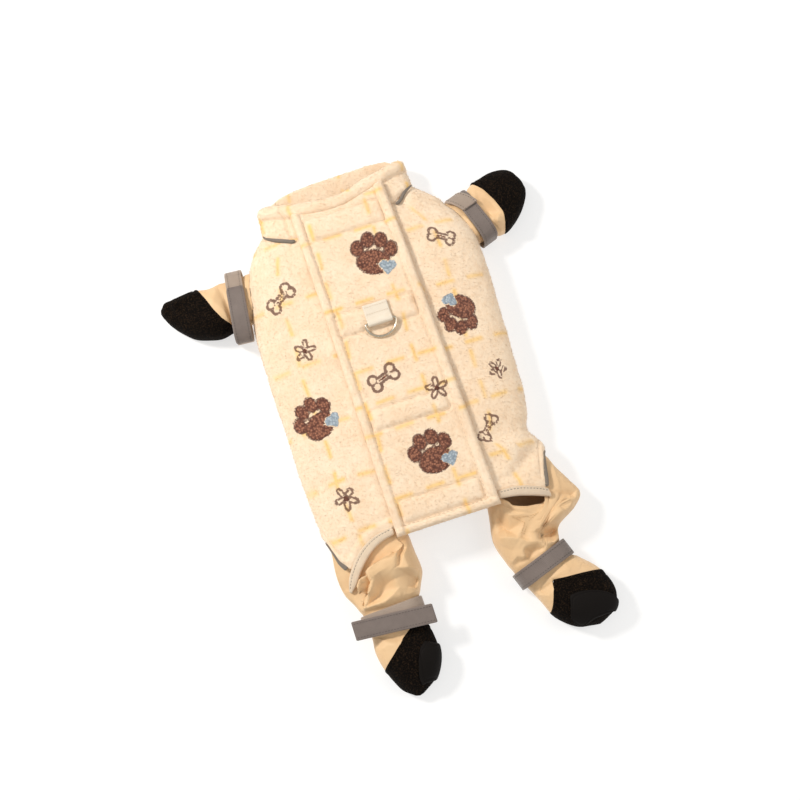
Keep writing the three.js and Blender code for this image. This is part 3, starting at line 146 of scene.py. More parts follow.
# %% The four limbs
# sections: ahead, aside, wide, tall, lift, turn. folds: ahead, aside, long, wide, turn, lift.
# lines are the sharp folds of the stiff cloth as seen from above, each point with its lift in mm, and
# frame is where they fade out. calm is where the cloth is drawn smooth: x, y and reach in mm.
SLEEVE_LEFT = {
    "at": (-0.85, 0.324), "heading": 180, "length": 80.0, "half": 24.0, "height": 26.0,
    "sections": np.array([
        (0, 0, 0.80, 0.92, 0.14, -15), (0.12, 0.03, 0.82, 0.96, 0.10, -10),
        (0.26, 0.05, 0.83, 0.92, 0.08, -4), (0.36, 0.06, 0.83, 0.90, 0.07, 0),
        (0.50, 0.13, 0.84, 0.92, 0, 0), (0.63, 0.04, 0.84, 0.90, 0, 0),
        (0.76, -0.04, 0.74, 0.82, 0, 0), (0.87, -0.20, 0.55, 0.70, 0, 0),
        (0.95, -0.37, 0.36, 0.56, 0.02, 0), (1, -0.46, 0.12, 0.36, 0.12, 0),
    ]),
    "root": np.array([(-1, 0), (1, 0)]),
    "border": np.array([(-1, 0.60), (-0.5, 0.55), (0, 0.50), (0.5, 0.44), (1, 0.35)]),
    "folds": [
        (0.42, 0.30, 0.20, 0.10, 70, 0.05), (0.33, -0.10, 0.25, 0.09, 95, -0.05),
        (0.47, 0.75, 0.16, 0.08, 60, -0.07), (0.92, -0.62, 0.10, 0.05, 40, -0.10),
    ],
    "lines": [
        [(-127, 94, 0.8), (-121, 84, 1.4), (-115, 74, 1.0)],
        [(-115, 96, -0.8), (-113, 86, -1.2), (-111, 74, -1.8)],
        [(-159, 93.5, -0.8), (-155.5, 90, -2.4), (-151, 85, -1.2)],
        [(-157, 96, 0.9), (-152.5, 92.5, 1.1)],
    ],
    "calm": [],
    "frame": [(-86, 108, 0), (-130, 108, 0), (-166, 100, 0), (-168, 80, 0), (-140, 50, 0),
              (-112, 50, 0), (-90, 46, 0), (-94, 80, 0)],
}
SLEEVE_RIGHT = {
    "at": (0.80, 0.356), "heading": 0, "length": 80.0, "half": 24.0, "height": 26.0,
    "sections": np.array([
        (0, 0, 0.92, 0.92, 0.14, 22), (0.15, -0.01, 0.85, 0.98, 0.10, 20),
        (0.28, 0.06, 0.87, 0.98, 0.08, 18), (0.42, 0.22, 1.0, 0.98, 0.06, 18),
        (0.53, 0.40, 0.95, 0.96, 0, 20), (0.64, 0.60, 0.84, 0.90, 0, 20),
        (0.73, 0.76, 0.67, 0.80, 0, 20), (0.795, 0.86, 0.45, 0.66, 0.02, 20),
        (0.83, 0.89, 0.15, 0.42, 0.12, 20),
    ]),
    "root": np.array([(-1, 0), (1, 0)]),
    "border": np.array([(-1, 0.41), (-0.5, 0.47), (0, 0.47), (0.5, 0.45), (1, 0.41)]),
    "folds": [
        (0.37, 0.10, 0.28, 0.07, 60, -0.07), (0.42, -0.40, 0.16, 0.06, 0, 0.10),
        (0.40, -0.68, 0.16, 0.06, 10, -0.06), (0.36, 0.75, 0.20, 0.08, 80, 0.05),
    ],
    "lines": [
        [(103, 81, 1.6), (111.8, 77.5, 3.4), (119.5, 73.5, 2.2)],
        [(104.5, 75, -1.6), (110, 71.5, -2.6), (116, 67, -1.6)],
        [(104, 96, -1.4), (108, 88, -2.8), (108, 82.5, -1.6)],
        [(105, 108, 0.6), (110, 102, 1.2), (114, 93, 1.0), (117, 84, 0.8)],
        [(106, 73, -1.6), (112, 71.5, -1.6)],
    ],
    "calm": [],
    "frame": [(84, 122, 0), (104, 122, 0), (116, 112, 0), (126, 90, 0), (124, 70, 0), (112, 60, 0),
              (88, 58, 0), (80, 90, 0)],
}
LEG_LEFT = {
    "at": (-0.633, -0.3895), "heading": -90, "length": 152.0, "half": 31.0, "height": 34.0,
    "sections": np.array([
        (0, 0, 0.84, 0.94, 0, 0), (0.15, 0, 0.90, 0.98, 0, 0), (0.25, 0, 0.96, 1, 0, 0),
        (0.35, 0, 1.0, 1, 0, 0), (0.44, 0.04, 0.98, 0.94, 0, 0), (0.51, 0.05, 0.82, 0.82, 0.05, 0),
        (0.58, 0.04, 0.70, 0.72, 0.055, 0), (0.67, 0.06, 0.68, 0.70, 0.055, 0),
        (0.75, 0.08, 0.73, 0.72, 0, 0), (0.83, 0.12, 0.70, 0.72, 0, 0),
        (0.90, 0.13, 0.57, 0.62, 0, 0), (0.96, 0.10, 0.38, 0.46, 0.02, 0),
        (1, 0.06, 0.10, 0.30, 0.12, 0),
    ]),
    "root": np.array([(-1, 0.03), (-0.6, 0.14), (0.6, 0.14), (1, 0.08)]),
    "border": np.array([(-1, 0.845), (-0.5, 0.79), (0, 0.73), (0.42, 0.686), (1, 0.70)]),
    "folds": [
        (0.40, 0.55, 0.09, 0.05, 80, 0.14), (0.46, 0.80, 0.13, 0.04, 30, 0.13),
        (0.35, 0.72, 0.13, 0.035, -70, 0.10), (0.47, 0.10, 0.20, 0.085, 75, -0.17),
        (0.52, 0.50, 0.10, 0.05, 60, 0.08), (0.435, -0.47, 0.16, 0.05, 50, 0.10),
        (0.48, -0.62, 0.12, 0.04, 48, -0.16), (0.46, -0.85, 0.15, 0.05, 52, 0.08),
        (0.73, -0.55, 0.12, 0.05, 40, -0.08), (0.70, -0.10, 0.10, 0.05, 55, 0.05),
    ],
    "lines": [
        # the sharp upright crease from the hem to the knot, and the valley on its right
        [(-43, -138, 0.6), (-46, -149, 2.6), (-49, -158, 1.6)],
        [(-40.5, -140, -0.8), (-43.5, -149, -1.6), (-46.5, -156, -1.2)],
        [(-36.5, -146, 1.6), (-41, -151, 1.8), (-45, -157, 0.8)],
        # from the knot to the right and down that side
        [(-49, -158, 1.6), (-40, -160.5, 2.6), (-33, -164, 2.0), (-32, -170, 1.8), (-38, -177, 2.2)],
        [(-42, -165, -1.4), (-37, -170.5, -3.6), (-40, -174.5, -0.8)],
        # the shaded fold beside the binding and the band below it
        [(-50, -146, -2.0), (-58, -143.5, -1.6), (-67, -147.5, -1.6), (-74, -152, -1.6)],
        [(-49, -158, 1.6), (-54, -150.5, 2.4), (-62, -147, 2.4), (-71, -152.5, 2.8)],
        [(-49, -158, 1.6), (-60, -157, 2.6), (-69, -160, 3.0), (-73.5, -168, 2.4), (-80, -178, 2.2)],
        # the deep pocket and its left lip
        [(-73.2, -157.5, -2.0), (-71.8, -161, -4.4), (-76.5, -168, -4.0), (-81, -174, -2.0)],
        [(-76.5, -156.5, 1.6), (-79.5, -163, 2.2), (-84, -171.5, 1.4)],
        # the flat facet between the band and the lower ridge
        [(-62, -166.5, -2.6), (-66, -172, -2.6), (-73, -175, -1.8)],
        [(-49, -158, 1.6), (-51, -165, 1.4), (-52, -172.5, 2.0)],
        [(-80, -178, 2.2), (-64, -179, 2.4), (-52, -172.5, 2.0), (-45, -173.5, 1.2), (-38, -177, 2.2)],
        [(-85, -166, -2.4), (-87.5, -159, -1.2)],
        # below the strap
        [(-78, -201, -0.8), (-66, -205, -1.8), (-57, -205, -1.6)],
        [(-79, -211, 1.2), (-70, -208.5, 1.4), (-63, -211, 0.8)],
    ],
    "calm": [(-79, -171, 5)],
    "frame": [(-98, -112, 0), (-99, -140, 0), (-94, -168, 0), (-93, -190, 0), (-88, -226, 0),
              (-62, -232, 0), (-28, -226, 0), (-27, -190, 0), (-27, -160, 0), (-29, -134, 0),
              (-50, -122, 0), (-75, -122, 0)],
}
LEG_RIGHT = {
    "at": (0.59, -0.3895), "heading": -90, "length": 152.0, "half": 31.0, "height": 34.0,
    "sections": np.array([
        (0, 0, 0.82, 0.94, 0, 0), (0.15, 0.13, 0.92, 0.96, 0, 0), (0.245, 0.23, 1.06, 0.94, 0, 0),
        (0.32, 0.28, 1.17, 0.88, 0, 0), (0.38, 0.12, 1.07, 0.86, 0, 0),
        (0.435, -0.12, 0.84, 0.82, 0, 0), (0.51, -0.12, 0.72, 0.76, 0.05, 8),
        (0.60, -0.02, 0.65, 0.72, 0.055, 18), (0.685, 0.27, 0.71, 0.72, 0.055, 27),
        (0.77, 0.55, 0.80, 0.74, 0, 26), (0.84, 0.74, 0.76, 0.72, 0, 18),
        (0.895, 0.83, 0.62, 0.62, 0, 12), (0.93, 0.85, 0.42, 0.50, 0.02, 8),
        (0.95, 0.86, 0.12, 0.32, 0.12, 6),
    ]),
    "root": np.array([
        (-1, 0.03), (-0.85, 0.21), (-0.70, 0.235), (-0.45, 0.285), (-0.15, 0.312), (0.12, 0.322),
        (0.34, 0.30), (0.50, 0.16), (0.75, 0.08), (1, 0.03),
    ]),
    "border": np.array([(-1, 0.76), (-0.93, 0.752), (-0.26, 0.67), (0.26, 0.715), (0.94, 0.776),
                        (1, 0.78)]),
    "folds": [
        (0.325, 0.95, 0.18, 0.03, 85, -0.16), (0.41, -0.05, 0.14, 0.045, 12, 0.10),
        (0.35, -0.72, 0.12, 0.06, 10, -0.10), (0.42, -0.62, 0.13, 0.035, 70, 0.11),
        (0.455, 0.32, 0.12, 0.045, 75, -0.18), (0.49, -0.22, 0.09, 0.04, 20, -0.14),
        (0.385, 0.65, 0.16, 0.05, 60, 0.09), (0.51, 0.05, 0.10, 0.04, 70, 0.07),
        (0.69, 0.10, 0.12, 0.045, 60, -0.07), (0.70, 0.62, 0.12, 0.045, 70, 0.06),
    ],
    "lines": [
        # the flat shaded facet at the left, its lower ridge and the seam on its right
        [(32, -141, 0.6), (39, -139.5, 1.4), (43.5, -147, 1.6)],
        [(36, -147, -2.4), (38, -153.5, -2.8), (41, -158, -1.8)],
        [(27.5, -159.5, 1.4), (37, -162, 2.6), (45.5, -165.5, 2.2)],
        [(43.5, -147, 1.6), (51.5, -154, -1.0), (45.5, -165.5, 2.2)],
        [(62, -152, -0.5), (56.5, -154.5, -1.0), (49, -164, -0.8)],
        [(54.5, -149.5, 1.0), (54, -153.5, 1.4), (48, -162.5, 1.2)],
        # the large smooth swell at the right
        [(69, -157.5, 2.4), (80, -154.5, 2.6), (92, -154, 1.4)],
        [(79, -148.5, 0.9), (86, -149.2, 1.5), (97, -149.5, 1.4)],
        [(80, -144.2, -1.8), (87, -145, -2.4), (95, -146.3, -1.4)],
        # the hollow and its lips
        [(58.5, -163.5, 1.8), (66, -161.5, 2.8), (77, -160.5, 1.8)],
        [(64, -168, -4.4), (70, -168, -5.4), (76, -167, -3.6)],
        [(58, -171, 1.4), (63, -174.5, 2.4), (69, -176.5, 2.6), (76, -173.5, 2.0)],
        # small crumples above the strap
        [(45.5, -173.5, 1.6), (53, -171.5, 2.2), (58, -171, 1.4)],
        [(50, -177.5, -2.6), (53.5, -176, -1.8)],
        [(41, -182, -1.6), (47, -183, -2.0), (54, -180.5, -1.8), (61, -178, -1.4)],
        [(38, -172, 0.8), (40, -177, 1.2), (45, -179.5, 1.2)],
        # below the strap
        [(57, -200, 1.6), (72, -197.5, 1.4), (85, -197, 0.6)],
        [(49.5, -206, -1.8), (56, -204, -1.4)],
        [(46, -209, 0.8), (53, -211.5, 1.2)],
    ],
    "calm": [(75, -154.5, 11)],
    "frame": [(44, -122, 0), (28, -134, 0), (25, -160, 0), (28, -184, 0), (42, -208, 0),
              (56, -226, 0), (104, -210, 0), (92, -190, 0), (81, -178, 0), (83, -162, 0),
              (105, -152, 0), (104, -140, 0), (94, -114, 0), (70, -128, 0)],
}
print("tables:", len(BODY), "body sections and 4 limbs")

# %% [markdown]
# ## The maths of the shapes
#
# A table is read as a smooth curve. A section is a bent circle, whose power makes it squarer.

# %% Small tools
def smooth_read(table, at):
    """Every column of a table after its first, at the places in at, as smooth curves."""
    x, y = table[:, 0], table[:, 1:]
    last = len(x) - 1
    before = np.clip(np.arange(last + 1) - 1, 0, last)
    after = np.clip(np.arange(last + 1) + 1, 0, last)
    slope = (y[after] - y[before]) / (x[after] - x[before])[:, None]
    at = np.clip(at, x[0], x[last])
    i = np.clip(np.searchsorted(x, at, side="right") - 1, 0, last - 1)
    span = (x[i + 1] - x[i])[..., None]
    t = ((at - x[i])[..., None]) / span
    level = y[i] * (2 * t**3 - 3 * t**2 + 1) + y[i + 1] * (3 * t**2 - 2 * t**3)
    return level + span * (slope[i] * (t**3 - 2 * t**2 + t) + slope[i + 1] * (t**3 - t**2))


def read(table, at):
    """The second column of a table at the places in at, along straight lines."""
    return np.interp(at, table[:, 0], table[:, 1])


def mix(a, b, t):
    return a + (b - a) * t


def ease(low, high, v):
    """A smooth step from 0 at low to 1 at high. It falls where low is above high."""
    t = np.clip((v - low) / (high - low), 0, 1)
    return t * t * (3 - 2 * t)


def bent(v, power):
    """A power that keeps the sign: it makes a circle squarer or rounder."""
    return np.sign(v) * np.abs(v) ** power


def bell(v, middle, wide):
    """A smooth bump of height 1 round the middle; its negative is a stitched groove."""
    return np.exp(-(((v - middle) / wide) ** 2))


def rounded(share, least):
    """The height of a rounded edge, from 0 at the rim to 1 where share is 1."""
    return np.sqrt(1 - (1 - np.clip(share, least, 1)) ** 2)


def soften(rows):
    """Draws each row halfway towards its neighbours, except the first and the last."""
    rows[1:-1] = (rows[:-2] + 2 * rows[1:-1] + rows[2:]) / 4


def round_angles(count, gather):
    """Angles round a tube, gathered towards its sides, where it bends most."""
    b = np.linspace(0, 2 * math.pi, count, endpoint=False)
    return b + gather * np.sin(4 * b)


def mound(dx, dy, long, wide, turn, sharp=2.0):
    """A soft oval rise of height 1; a low sharpness draws its crest to a crease."""
    c, s = math.cos(math.radians(turn)), math.sin(math.radians(turn))
    return np.exp(-(((dx * c + dy * s) / long) ** 2) - np.abs((dy * c - dx * s) / wide) ** sharp)


def ripple(x, y, size, seed):
    """Smooth random hills from -1 to 1, size mm across, the same ones on each run."""
    field = np.random.default_rng(seed).uniform(-1, 1, (64, 64))
    u, v = x / size, y / size
    i, j = np.floor(u).astype(int), np.floor(v).astype(int)
    s, t = u - i, v - j
    s, t = s * s * (3 - 2 * s), t * t * (3 - 2 * t)
    low = field[i % 64, j % 64] * (1 - s) + field[(i + 1) % 64, j % 64] * s
    high = field[i % 64, (j + 1) % 64] * (1 - s) + field[(i + 1) % 64, (j + 1) % 64] * s
    return low * (1 - t) + high * t


# %% The body's surface
def across_of(a, extra=0.0):
    """The place across a bent circle at angle a, from -1 to 1."""
    power = np.where(np.sin(a) >= 0, 2 / (SQUARE_TOP + extra), 2 / SQUARE_UNDER)
    return bent(np.cos(a), power)


def rise_of(a, extra=0.0):
    """How high a bent circle is above its waist at angle a, from 0 to 1."""
    power = np.where(np.sin(a) >= 0, 2 / (SQUARE_TOP + extra), 2 / SQUARE_UNDER)
    return np.abs(np.sin(a)) ** power


def body_section(y):
    """The body's middle, half width, height and waist height at y."""
    left, right, tall = np.moveaxis(smooth_read(BODY, y / LENGTH), -1, 0)
    left, right, tall = left * HALF, right * HALF, tall * TALL
    return (right - left) / 2, (right + left) / 2, tall, WAIST * tall


def body_dent(x, y):
    return sum(lift * mound(x - cx, y - cy, long, wide, turn)
               for cx, cy, long, wide, turn, lift in BODY_DENTS)


def body_point(a, y, grow=0.0):
    """A point of the body's skin at angle a round the section at y, grown outwards."""
    middle, half, tall, waist = body_section(y)
    x = middle + (half + grow) * across_of(a)
    top = waist + (tall - waist + grow + body_dent(x, y)) * rise_of(a)
    low = np.maximum(waist - (waist * FLAT + grow) * rise_of(a), np.maximum(0, -grow))
    return np.stack(np.broadcast_arrays(x, y, np.where(np.sin(a) >= 0, top, low)), -1)


def body_top(x, y, grow=0.0):
    """The height of the body's top at x, y."""
    middle, half, tall, waist = body_section(y)
    u = np.clip(np.abs(x - middle) / (half + grow), 0, 1)
    return waist + (tall - waist + grow + body_dent(x, y)) * (1 - u**SQUARE_TOP) ** (1 / SQUARE_TOP)


def by_angle(upper, under, a):
    """Reads the upper table for the top's angles and the under table for the belly's."""
    return np.where(np.sin(a) >= 0, read(upper, across_of(a)), read(under, across_of(a)))


def seam_at(a):
    return by_angle(SEAM_TOP, SEAM_UNDER, a) * LENGTH


def hem_at(a):
    return by_angle(HEM_TOP, HEM_UNDER, a) * LENGTH


def rim_at(a):
    """Where the collar ends at angle a. The upper and the lower rim blend at the sides."""
    upper = read(RIM_TOP, bent(np.cos(a), 2 / SQUARE_TOP))
    under = read(RIM_UNDER, across_of(a))
    share = mix(under, upper, ease(-0.5, 0.6, np.sin(a)))
    return NECK_LINE * LENGTH + COLLAR_DEEP * share


def even_turns(count):
    """Angles that step evenly along the skin, starting at the right side."""
    dense = np.linspace(0, 2 * math.pi, 4000)
    p = body_point(dense, np.zeros_like(dense))
    walk = np.concatenate([[0], np.cumsum(np.linalg.norm(np.diff(p, axis=0), axis=1))])
    return np.interp(np.linspace(0, walk[-1], count, endpoint=False), walk, dense), walk[-1]


# %% A limb's surface
def limb_station(limb, ahead):
    """A limb's section at a share of its length: centre, directions, half width and heights."""
    aside, wide, tall, lift, turn = np.moveaxis(smooth_read(limb["sections"], ahead), -1, 0)
    heading = math.radians(limb["heading"])
    main = np.array([math.cos(heading), math.sin(heading)])
    off = np.array([-math.sin(heading), math.cos(heading)])
    centre = np.array(limb["at"]) * (HALF, LENGTH) + (ahead * limb["length"])[..., None] * main
    centre = centre + (aside * limb["half"])[..., None] * off
    angle = heading + np.radians(turn)
    forward = np.stack([np.cos(angle), np.sin(angle)], -1)
    side = np.stack([-np.sin(angle), np.cos(angle)], -1)
    height = limb["height"]
    return centre, forward, side, wide * limb["half"], tall * height, np.maximum(lift, 0) * height, aside


def covered(p, grow):
    """How far under the fleece a point of a leg is, and that point pulled in below it."""
    middle, half, tall, waist = body_section(p[..., 1])
    up = p[..., 2] >= waist
    e = np.where(up, SQUARE_TOP, SQUARE_UNDER)
    room = FLEECE + TUCK_ROOM - min(grow, 0)
    reach = waist - room + np.where(up, tall - 2 * waist + body_dent(p[..., 0], p[..., 1]), 0)
    u, v = (p[..., 0] - middle) / (half - room), (p[..., 2] - waist) / reach
    size = np.maximum((np.abs(u) ** e + np.abs(v) ** e) ** (1 / e), 1)
    a = np.arctan2(bent(v, e / 2), bent(u, e / 2)) % (2 * math.pi)
    share = ease(-9, -1.5, p[..., 1] - by_angle(COVER_TOP, HEM_UNDER, a) * LENGTH)
    held = np.stack([mix(middle, p[..., 0], 1 / size), p[..., 1], mix(waist, p[..., 2], 1 / size)], -1)
    return share, mix(p, held, share[..., None])


def limb_point(limb, ahead, a, grow=0.0, creased=False):
    """A point of a limb's skin, grown outwards; creased adds the finer folds of its cloth."""
    ahead, a = np.broadcast_arrays(np.asarray(ahead, float), np.asarray(a, float))
    centre, forward, side, half, tall, lift, aside = limb_station(limb, ahead)
    fade = np.minimum(1, half / (0.5 * limb["half"]))
    across = (half + grow * fade) * across_of(a)
    flat = centre + side * across[..., None] + forward * (grow * ease(0.8, 1, ahead))[..., None]
    waist = lift + WAIST * (tall - lift)
    fold = 0.0
    for f in limb["folds"]:
        dx = (ahead - f[0]) * limb["length"]
        dy = (aside + across / limb["half"] - f[1]) * limb["half"]
        fold = fold + f[5] * limb["height"] * mound(dx, dy, f[2] * limb["length"],
                                                    f[3] * limb["length"], f[4])
    if creased:
        fold = fold * ROUND_FOLDS + FOLD_GAIN * facets(limb, flat[..., 0], flat[..., 1])
    upper = waist + (tall - waist + grow * fade) * rise_of(a)
    upper = upper + fold * ease(0.15, 0.75, np.sin(a)) * fade
    drop = ((waist - lift) * FLAT + grow * fade) * rise_of(a)
    lower = np.maximum(waist - drop, np.maximum(0, lift - grow * fade))
    z = np.where(np.sin(a) >= 0, upper, lower)
    p = np.concatenate([flat, z[..., None]], -1)
    return covered(p, grow)[1] if limb["height"] > 30 else p


def root_at(limb, a):
    """Where the limb's cloth starts at angle a, as a share of its length."""
    return read(limb["root"], across_of(a)) * ease(0, 0.45, np.sin(a))


def border_at(limb, a):
    """Where the cloth ends and the boot starts."""
    return read(limb["border"], across_of(a))


def facets(limb, x, y):
    """The lift of stiff cloth at x, y: flat facets between the fold lines."""
    points, edges = [], []
    for line in [*limb["lines"], limb["frame"] + limb["frame"][:1]]:
        ids = []
        for p in line:
            if p not in points:
                points.append(p)
            ids.append(points.index(p))
        edges += list(zip(ids[:-1], ids[1:]))
    flat = [Vector(p[:2]) for p in points]
    found = delaunay_2d_cdt(flat, edges, [], 0, 1e-4)
    level = [points[ids[0]][2] if ids else 0.0 for ids in found[3]]
    lift = np.zeros_like(x)
    for face in found[2]:
        (x0, y0), (x1, y1), (x2, y2) = [found[0][k][:2] for k in face]
        area = (x1 - x0) * (y2 - y0) - (x2 - x0) * (y1 - y0)
        b = ((x - x0) * (y2 - y0) - (x2 - x0) * (y - y0)) / area
        c = ((x1 - x0) * (y - y0) - (x - x0) * (y1 - y0)) / area
        inside = (b >= 0) & (c >= 0) & (b + c <= 1)
        height = level[face[0]] * (1 - b - c) + level[face[1]] * b + level[face[2]] * c
        lift = np.where(inside, height, lift)
    if lift.ndim == 2 and min(lift.shape) > 2:
        lift[1:-1] = (lift[:-2] + 4 * lift[1:-1] + lift[2:]) / 6
        lift = (np.roll(lift, 1, 1) + 4 * lift + np.roll(lift, -1, 1)) / 6
    return lift


probe = limb_point(LEG_LEFT, 0.5, math.pi / 2)
print("top of the left leg half way:", np.round(probe, 1))

# %% [markdown]
# ## Making meshes
#
# A wall is an outer and an inner grid of points. Its edges are rolled over, as cloth is, and the
# unwrapped coordinates are kept in metres so that weave and stitches have their real size.

# %% Meshes from grids
def grid_normals(p, loop):
    """Unit normals of a grid of points, facing away from the row's middle or upwards."""
    across = np.roll(p, -1, 1) - np.roll(p, 1, 1) if loop else np.gradient(p, axis=1)
    n = np.cross(across, np.gradient(p, axis=0))
    n /= np.linalg.norm(n, axis=-1, keepdims=True) + 1e-9
    away = (p - p.mean(1, keepdims=True)) if loop else np.array([0.0, 0.0, 1.0])
    return n if (n * away).sum() > 0 else -n


def linked(name, data):
    """An object with this data, in the scene."""
    made = bpy.data.objects.new(name, data)
    bpy.context.scene.collection.objects.link(made)
    return made


def object_of(name, points, faces, look, uv=None, dye=None):
    """A mesh object from points in mm, with outward faces, corner coordinates and dyes."""
    mesh = bpy.data.meshes.new(name)
    mesh.from_pydata((points * MM).tolist(), [], faces)
    if uv is not None:
        layer = mesh.uv_layers.new(name="cut")
        corners = np.concatenate(uv) if isinstance(uv, list) else uv
        layer.data.foreach_set("uv", (corners * MM).astype(np.float32).ravel())
    if dye is not None:
        layer = mesh.attributes.new("dye", "FLOAT_COLOR", "POINT")
        layer.data.foreach_set("color", dye.astype(np.float32).ravel())
    b = bmesh.new()
    b.from_mesh(mesh)
    bmesh.ops.recalc_face_normals(b, faces=b.faces)
    b.to_mesh(mesh)
    b.free()
    mesh.shade_smooth()
    mesh.materials.append(look)
    return linked(name, mesh)


def wall(name, outer, inner, u, v, loop, look, dye=None, roll=3):
    """A closed wall between two grids, its open edges rolled over."""
    rows, columns = outer.shape[:2]
    out_end, out_start = outer[-1] - outer[-2], outer[0] - outer[1]
    turns = [math.pi * k / (roll + 1) for k in range(1, roll + 1)]

    def rolled(o, n, out):
        out = out / (np.linalg.norm(out, axis=-1, keepdims=True) + 1e-9)
        thick = np.linalg.norm(o - n, axis=-1, keepdims=True) / 2
        return [(o + n) / 2 + (o - n) / 2 * math.cos(t) + out * thick * math.sin(t) for t in turns]

    ring = [*outer, *rolled(outer[-1], inner[-1], out_end), *inner[::-1],
            *rolled(inner[0], outer[0], out_start)]
    order = [*range(rows), *[rows - 1] * roll, *range(rows)[::-1], *[0] * roll]
    total = len(ring)
    spans = columns if loop else columns - 1
    i = np.repeat(np.arange(total), spans)
    j = np.tile(np.arange(spans), total)
    k, m = (i + 1) % total, (j + 1) % columns
    quads = np.stack([i * columns + j, i * columns + m, k * columns + m, k * columns + j], 1)
    u, v = u[order], v[order]
    corners = np.stack([np.stack([w[i, j], w[i, j + 1], w[k, j + 1], w[k, j]], 1) for w in (u, v)], -1)
    faces, uv = quads.tolist(), [corners.reshape(-1, 2)]
    if not loop:
        for end in (0, columns - 1):
            steps = [(r, r + 1, total - roll - 2 - r, total - roll - 1 - r) for r in range(rows - 1)]
            steps.append(tuple(range(rows - 1, rows + roll + 1)))
            steps.append(tuple([*range(total - roll - 1, total), 0]))
            faces += [[s * columns + end for s in step] for step in steps]
            uv += [np.stack([u[list(step), end], v[list(step), end]], -1) for step in steps]
    points = np.array(ring).reshape(-1, 3)
    paint = None if dye is None else dye[order].reshape(-1, 4)
    return object_of(name, points, faces, look, uv, paint)


def tube_faces(rings, sides):
    """The faces between rings of points, each ring with the same number of sides."""
    return [[i * sides + j, i * sides + (j + 1) % sides, (i + 1) * sides + (j + 1) % sides,
             (i + 1) * sides + j] for i in range(rings - 1) for j in range(sides)]


def cord(name, line, wide, tall, look, sides=12):
    """A tube along a line, wide and tall at each of its points, with closed ends."""
    along = np.gradient(line, axis=0)
    along /= np.linalg.norm(along, axis=1, keepdims=True)
    side = np.cross(along, (0, 0, 1.0))
    side /= np.linalg.norm(side, axis=1, keepdims=True)
    up = np.cross(side, along)
    b = np.linspace(0, 2 * math.pi, sides, endpoint=False)
    shrink = np.ones(len(line))
    shrink[[0, -1]] = 0.45
    shrink[[1, -2]] = 0.85
    wide, tall = wide * shrink / 2, tall * shrink / 2
    points = (line[:, None] + side[:, None] * (np.cos(b) * wide[:, None])[..., None]
              + up[:, None] * (np.sin(b) * tall[:, None])[..., None])
    walk = np.concatenate([[0], np.cumsum(np.linalg.norm(np.diff(line, axis=0), axis=1))])
    faces, uv = tube_faces(len(line), sides), []
    for i in range(len(line) - 1):
        for j in range(sides):
            lo, hi = j * wide.max() * 6 / sides, (j + 1) * wide.max() * 6 / sides
            uv.append(np.array([(walk[i], lo), (walk[i], hi), (walk[i + 1], hi), (walk[i + 1], lo)]))
    for i in (0, len(line) - 1):
        faces.append([i * sides + j for j in range(sides)])
        uv.append(np.zeros((sides, 2)) + walk[i])
    return object_of(name, points.reshape(-1, 3), faces, look, uv)


# %% Placing a piece on its body
def place(piece, slot, *nodes, body="root"):
    """The piece stands for its solids, which are hidden, and rides on a body; slot is not used."""
    if nodes:
        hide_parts(*nodes)
    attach(piece, body)
    return piece


# %% [markdown]
# ## Materials
#
# Small shader groups hold what several cloths share: a nap, ragged dye edges, a plain weave and
# knitted loops. Each material keeps its own shader, with its constants on the shader's sockets.

# %% Shader helpers
def add(tree, kind, settings=None, **inputs):
    """A node with its settings and inputs. An input is a value or a socket to link from."""
    node = tree.nodes.new(kind)
    for key, value in (settings or {}).items():
        setattr(node, key, value)
    for key, value in inputs.items():
        name = key.replace("_", " ").strip()
        socket = node.inputs[int(name)] if name.isdigit() else node.inputs[name]
        if isinstance(value, bpy.types.NodeSocket):
            tree.links.new(value, socket)
        else:
            socket.default_value = value
    return node


def maths(tree, operation, a, b=0.0):
    return add(tree, "ShaderNodeMath", {"operation": operation}, _0=a, _1=b).outputs[0]


def blend_colour(tree, share, a, b):
    node = add(tree, "ShaderNodeMix", {"data_type": "RGBA"}, _0=share, _6=a, _7=b)
    return node.outputs[2]


def weighed(tree, a, share_a, b, share_b):
    """The sum of two values, each times its share."""
    return maths(tree, "ADD", maths(tree, "MULTIPLY", a, share_a), maths(tree, "MULTIPLY", b, share_b))


def noise(tree, where, scale, detail=2.0, rough=0.5):
    node = add(tree, "ShaderNodeTexNoise", Vector=where, Scale=scale, Detail=detail, Roughness=rough)
    return node.outputs[0]


def new_group(name, inputs, outputs):
    """An empty shader group with named inputs (name, kind, default) and outputs (name, kind)."""
    group = bpy.data.node_groups.new(name, "ShaderNodeTree")
    for label, kind, default in inputs:
        group.interface.new_socket(label, in_out="INPUT", socket_type=kind).default_value = default
    for label, kind in outputs:
        group.interface.new_socket(label, in_out="OUTPUT", socket_type=kind)
    return group, group.nodes.new("NodeGroupInput"), group.nodes.new("NodeGroupOutput")


def use(tree, group, **inputs):
    return add(tree, "ShaderNodeGroup", {"node_tree": group}, **inputs)


FLOAT, VECTOR = "NodeSocketFloat", "NodeSocketVector"

# %% Group: nap of a brushed cloth
nap, g_in, g_out = new_group("brushed nap", [("Place", VECTOR, (0, 0, 0)), ("Size", FLOAT, 0.003)],
                             [("Height", FLOAT), ("Mottle and Shade", FLOAT)])
inverse = maths(nap, "DIVIDE", 1.0, g_in.outputs["Size"])
tufts = noise(nap, g_in.outputs["Place"], inverse, 3.0, 0.6)
fibres = noise(nap, g_in.outputs["Place"], maths(nap, "MULTIPLY", inverse, 4.2), 2.0, 0.65)
clouds = noise(nap, g_in.outputs["Place"], maths(nap, "MULTIPLY", inverse, 0.16), 1.0, 0.5)
nap.links.new(weighed(nap, tufts, 0.65, fibres, 0.35), g_out.inputs["Height"])
# The colour output mixes large random clouds with the tufts that also raise the pile, so low tufts come
# out darker: random tone plus painted shade in the pile's hollows.
nap.links.new(weighed(nap, tufts, 0.55, clouds, 0.45), g_out.inputs["Mottle and Shade"])

